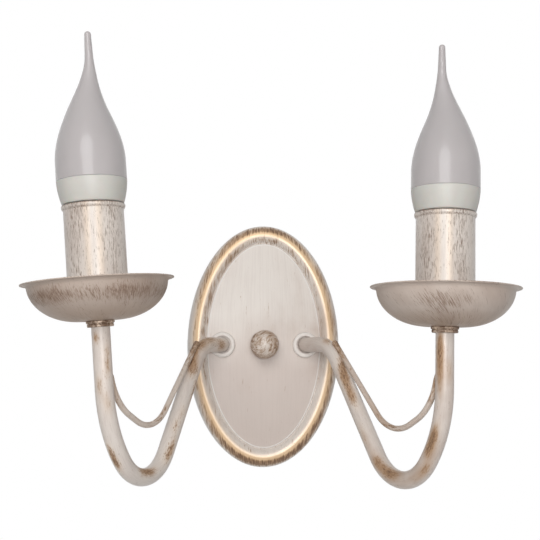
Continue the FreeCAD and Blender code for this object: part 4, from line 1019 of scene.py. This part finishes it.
class SCONCE_OT_bulbs(bpy.types.Operator):
    """Flame-tip bulbs: frosted dome with a drawn-out bent tail, cream ring, threaded cap"""
    bl_idname = "sconce.bulbs"
    bl_label = "Bulbs"

    def execute(self, context):
        sizes = context.scene.sconce_sizes
        frost = frosted_dome()
        cream = moulded("cream ring", colour("collar_white"), 0.42, 1500.0, 0.95, "lay",
                        {"Subsurface Weight": 0.15, "Subsurface Scale": 0.002})
        plated = bare_metal("plated cap", (0.78, 0.76, 0.72), 0.30, (200.0, 200.0, 900.0), (0.2, 0.15, 0.1), "lay")
        for side in SIDES:
            outside, inside = dome_grid(sizes, 128)
            shell = np.concatenate([inside, outside])
            piece = put_surface(side + "_dome_frosted", stand(side, shell), shell,
                                {"tip": held((shell[..., 2] - 0.12) / 0.03)})
            finish_piece(piece, frost, side + "_bulb", "bulb_frost", side + "_bulb_diffuser")
            finish_piece(self.ring(side, sizes), cream, side + "_bulb", "bulb_plastic", side + "_bulb_housing")
            bore = 0.00665
            cap = thread_grid(0.00695, 0.00055, 0.00282, 0.0410, 0.0574, 96, bore, run_out=0.4)
            rim = turned_grid(np.array([[0.00695, 0.0574], [0.0079, 0.0577], [0.0079, 0.0582], [bore, 0.0582]]), 96)
            cap = np.concatenate([cap[:-2], rim])
            screw = put_surface(side + "_cap_thread", stand(side, cap), cap, looped=True)
            finish_piece(screw, plated, side + "_bulb", "cap_metal", side + "_bulb_cap")
        return {"FINISHED"}

    def ring(self, side, sizes):
        """The housing: neck, cone, shelf over the sleeve and the flared ring, turned from one outline."""
        foot, top, full = RING_FOOT, RING_TOP, sizes.bulb_radius
        lower = (0.0166, foot + 0.0005)
        flare = arc_through(lower, (lower[0] + 0.66 * (full - lower[0]), foot + 0.0063), (full, top), 26)
        outside = soft_outline([(0.00525, 0.0482), (0.00655, 0.0482), (0.00655, 0.0582), (0.0086, 0.0582),
                                (0.0086, 0.0590), (0.0132, foot), (0.0161, foot), lower],
                               [0.0001, 0.0001, 0.0002, 0.0002, 0.0006, 0.0004], steps=5)
        inner = full - RING_WALL
        inside = np.array([[inner, top], [inner, 0.0740], [inner, 0.0738], [inner - 0.0014, 0.0738],
                           [inner - 0.0022, 0.0722], [0.0154, foot + 0.0016], [0.0126, foot + 0.0012],
                           [0.00525, 0.0594]])
        outline = np.concatenate([outside, flare[1:], [[full - 0.0001, top]], inside])[::-1]
        local = turned_grid(outline, 128)
        return put_surface(side + "_bulb_ring", stand(side, local), local, looped=True)


# ---------------------------------------------------------------- fixings, lampholders and wires
class SCONCE_OT_fixings(bpy.types.Operator):
    """Finishes of the bracket, stud, nuts, washers, terminals, lampholders and wires"""
    bl_idname = "sconce.fixings"
    bl_label = "Fixings and lampholders"

    def execute(self, context):
        grey = (0.42, 0.42, 0.42)
        zinc = bare_metal("zinc plate", (0.60, 0.61, 0.62), 0.38, (500.0, 500.0, 40.0), (0.40, 0.40, 0.41))
        turned = bare_metal("turned zinc", (0.64, 0.64, 0.65), 0.30, (900.0, 60.0, 60.0), grey)
        brass = bare_metal("plain brass", (0.72, 0.52, 0.24), 0.30, (300.0, 300.0, 300.0), (0.45, 0.30, 0.14))
        black = moulded("black thermoset", (0.030, 0.030, 0.032), 0.45, 1600.0, 0.8)
        white = moulded("white nylon", (0.74, 0.73, 0.69), 0.50, 1500.0, 0.93)
        board = moulded("white board", (0.80, 0.79, 0.75), 0.45, 900.0, 0.96)
        green = moulded("green board", (0.05, 0.18, 0.09), 0.40, 900.0, 0.8)
        live, neutral, earth = (moulded(name + " insulation", tone, 0.45, 1200.0, 0.85) for name, tone in (
            ("brown", (0.17, 0.075, 0.035)), ("blue", (0.035, 0.10, 0.36)), ("green", (0.20, 0.36, 0.06))))
        finish = {"wall_bracket": zinc, "stud_lock_nut": turned, "ball_nut_washer": brass, "earth_screw": brass,
                  "earth_lug": zinc, "terminal_block": white, "terminal_tubes": brass, "terminal_screws": turned,
                  "earth_lead": earth}
        each_side = {"arm_washer": turned, "arm_nut": turned, "holder_nut": turned, "holder_rivets": turned,
                     "sleeve_seat": zinc, "holder_yoke": zinc, "holder_shell": brass, "holder_contact": brass,
                     "holder_barrel": black, "bulb_insulator": black, "bulb_contact": turned, "led_board": board,
                     "led_driver": green, "live_wire": live, "neutral_wire": neutral}
        finish.update({side + "_" + part: material for side in SIDES for part, material in each_side.items()})
        for node, material in finish.items():
            dress(frame["nodes"][node], material)
        thread = thread_grid(0.0025, 0.00028, 0.0008, 0.0, 0.0282, 48)
        stud = put_surface("stud_thread", out_of_wall(thread), thread)
        threaded = bare_metal("threaded zinc", (0.62, 0.62, 0.63), 0.34, (200.0, 200.0, 900.0), grey, "lay")
        finish_piece(stud, threaded, "fixture", "zinc_steel", "bracket_stud")
        return {"FINISHED"}


# ---------------------------------------------------------------- stage
def stage_turn():
    """The camera's right, up and back directions from its yaw, pitch and roll."""
    yaw, pitch, roll = 0.0611, 0.1110, 0.0010
    forward = np.array([math.sin(yaw) * math.cos(pitch), math.cos(yaw) * math.cos(pitch), math.sin(pitch)])
    right = np.array([math.cos(yaw), -math.sin(yaw), 0.0])
    up = np.cross(right, forward)
    level = math.cos(roll) * right + math.sin(roll) * up
    rise = -math.sin(roll) * right + math.cos(roll) * up
    return level, rise, -forward


def aimed(name, data, axes, place):
    """A camera or lamp whose own X, Y and Z are the three given directions, at the given place."""
    thing = bpy.data.objects.new(name, data)
    thing.matrix_world = Matrix([[*row, place[i]] for i, row in enumerate(np.stack(axes, axis=1))] + [[0, 0, 0, 1]])
    bpy.context.scene.collection.objects.link(thing)
    return thing


def white_to_camera(tree, shader):
    """What the camera, reflections and glass see straight is plain white; every other ray sees the shader."""
    path = add_node(tree, "ShaderNodeLightPath")
    seen = path.outputs["Is Camera Ray"]
    for ray in ("Is Transmission Ray", "Is Glossy Ray"):
        seen = add_node(tree, "ShaderNodeMath", {0: seen, 1: path.outputs[ray]}, operation="MAXIMUM").outputs[0]
    white = add_node(tree, "ShaderNodeEmission", {"Color": (1.0, 1.0, 1.0, 1.0)})
    return add_node(tree, "ShaderNodeMixShader", {0: seen, 1: shader, 2: white.outputs[0]}).outputs[0]


class SCONCE_OT_stage(bpy.types.Operator):
    """Camera, soft lights and a pale sweep of floor and backdrop"""
    bl_idname = "sconce.stage"
    bl_label = "Stage"

    def execute(self, context):
        scene, settings = context.scene, context.scene.sconce_stage
        scene.view_settings.view_transform = "Standard"
        camera = aimed("camera", bpy.data.cameras.new("camera"), stage_turn(), CAMERA_PLACE)
        camera.data.lens, camera.data.sensor_width = settings.lens, 36.0
        camera.data.clip_start = 0.01
        scene.camera = camera
        self.lamp("key", (-0.16, -0.95, 0.40), (0.0, 0.0, 0.02), (0.60, 0.60), settings.key)
        self.lamp("front", (-0.02, -0.66, 0.016), (0.0, 0.0, 0.0), (0.27, 0.07), settings.front)
        self.backdrop()
        self.world(scene, settings.sky)
        return {"FINISHED"}

    def lamp(self, name, place, aim, size, power):
        """A soft oval lamp at a place, turned to shine on a point."""
        light = bpy.data.lights.new(name, "AREA")
        light.shape, light.size, light.size_y, light.energy = "ELLIPSE", size[0], size[1], power
        back = np.array(place) - np.array(aim)
        back = back / np.linalg.norm(back)
        right = np.cross((0.0, 0.0, 1.0), back)
        right = right / np.linalg.norm(right)
        aimed(name, light, (right, np.cross(back, right), back), place)

    def backdrop(self):
        """A floor that curves up into a wall: a straight, a quarter circle and a straight, drawn out sideways."""
        floor, far, bend, reach = -0.26, 0.60, 0.25, 3.0
        arc = np.linspace(0, np.pi / 2, 24)
        curve = np.stack([far - bend + bend * np.sin(arc), floor + bend * (1 - np.cos(arc))], axis=1)
        line = np.concatenate([[[-reach, floor]], curve, [[far, reach]]])[:, None]
        grid = np.concatenate([np.insert(line, 0, end, axis=2) for end in (-reach, reach)], axis=1)
        index = np.arange(len(line) * 2).reshape(-1, 2)
        quads = np.stack([index[:-1, 0], index[:-1, 1], index[1:, 1], index[1:, 0]], axis=-1)
        mesh = bpy.data.meshes.new("sweep")
        mesh.from_pydata(grid.reshape(-1, 3), [], quads)
        mesh.update()
        sweep = bpy.data.objects.new("sweep", mesh)
        bpy.context.scene.collection.objects.link(sweep)
        material = bpy.data.materials.new("pale sweep")
        tree = empty_tree(material)
        matt = add_node(tree, "ShaderNodeBsdfDiffuse", {"Color": (0.80, 0.80, 0.80, 1.0)})
        clear = add_node(tree, "ShaderNodeBsdfTransparent")
        behind = add_node(tree, "ShaderNodeNewGeometry").outputs["Backfacing"]
        shown = {0: behind, 1: white_to_camera(tree, matt.outputs[0]), 2: clear.outputs[0]}
        mix = add_node(tree, "ShaderNodeMixShader", shown)
        add_node(tree, "ShaderNodeOutputMaterial", {"Surface": mix.outputs[0]})
        mesh.materials.append(material)

    def world(self, scene, strength):
        """Even light from all round."""
        world = bpy.data.worlds.new("studio")
        tree = empty_tree(world)
        even = add_node(tree, "ShaderNodeBackground", {"Color": (1.0, 0.985, 0.965, 1.0), "Strength": strength})
        add_node(tree, "ShaderNodeOutputWorld", {"Surface": white_to_camera(tree, even.outputs[0])})
        scene.world = world


OPERATORS = (SCONCE_OT_plate, SCONCE_OT_ball, SCONCE_OT_rosettes, SCONCE_OT_tubes, SCONCE_OT_rods,
             SCONCE_OT_collars, SCONCE_OT_pans, SCONCE_OT_sleeves, SCONCE_OT_bulbs, SCONCE_OT_fixings,
             SCONCE_OT_stage)


class SCONCE_PT_panel(bpy.types.Panel):
    """Lists the pieces of the wall light"""
    bl_idname = "SCONCE_PT_panel"
    bl_label = "Wall sconce"
    bl_space_type = "VIEW_3D"
    bl_region_type = "UI"
    bl_category = "Sconce"

    def draw(self, context):
        for operator in OPERATORS:
            self.layout.operator(operator.bl_idname)


CLASSES = (SconceSizes, SconceFinish, SconceStage, *OPERATORS, SCONCE_PT_panel)


def register():
    for cls in CLASSES:
        bpy.utils.register_class(cls)
    bpy.types.Scene.sconce_sizes = PointerProperty(type=SconceSizes)
    bpy.types.Scene.sconce_finish = PointerProperty(type=SconceFinish)
    bpy.types.Scene.sconce_stage = PointerProperty(type=SconceStage)


def unregister():
    del bpy.types.Scene.sconce_stage
    del bpy.types.Scene.sconce_finish
    del bpy.types.Scene.sconce_sizes
    for cls in reversed(CLASSES):
        bpy.utils.unregister_class(cls)


def main():
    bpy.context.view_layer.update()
    register()
    for operator in OPERATORS:
        group, name = operator.bl_idname.split(".")
        getattr(getattr(bpy.ops, group), name)()
    bpy.context.view_layer.update()


if __name__ == "__main__":
    main()
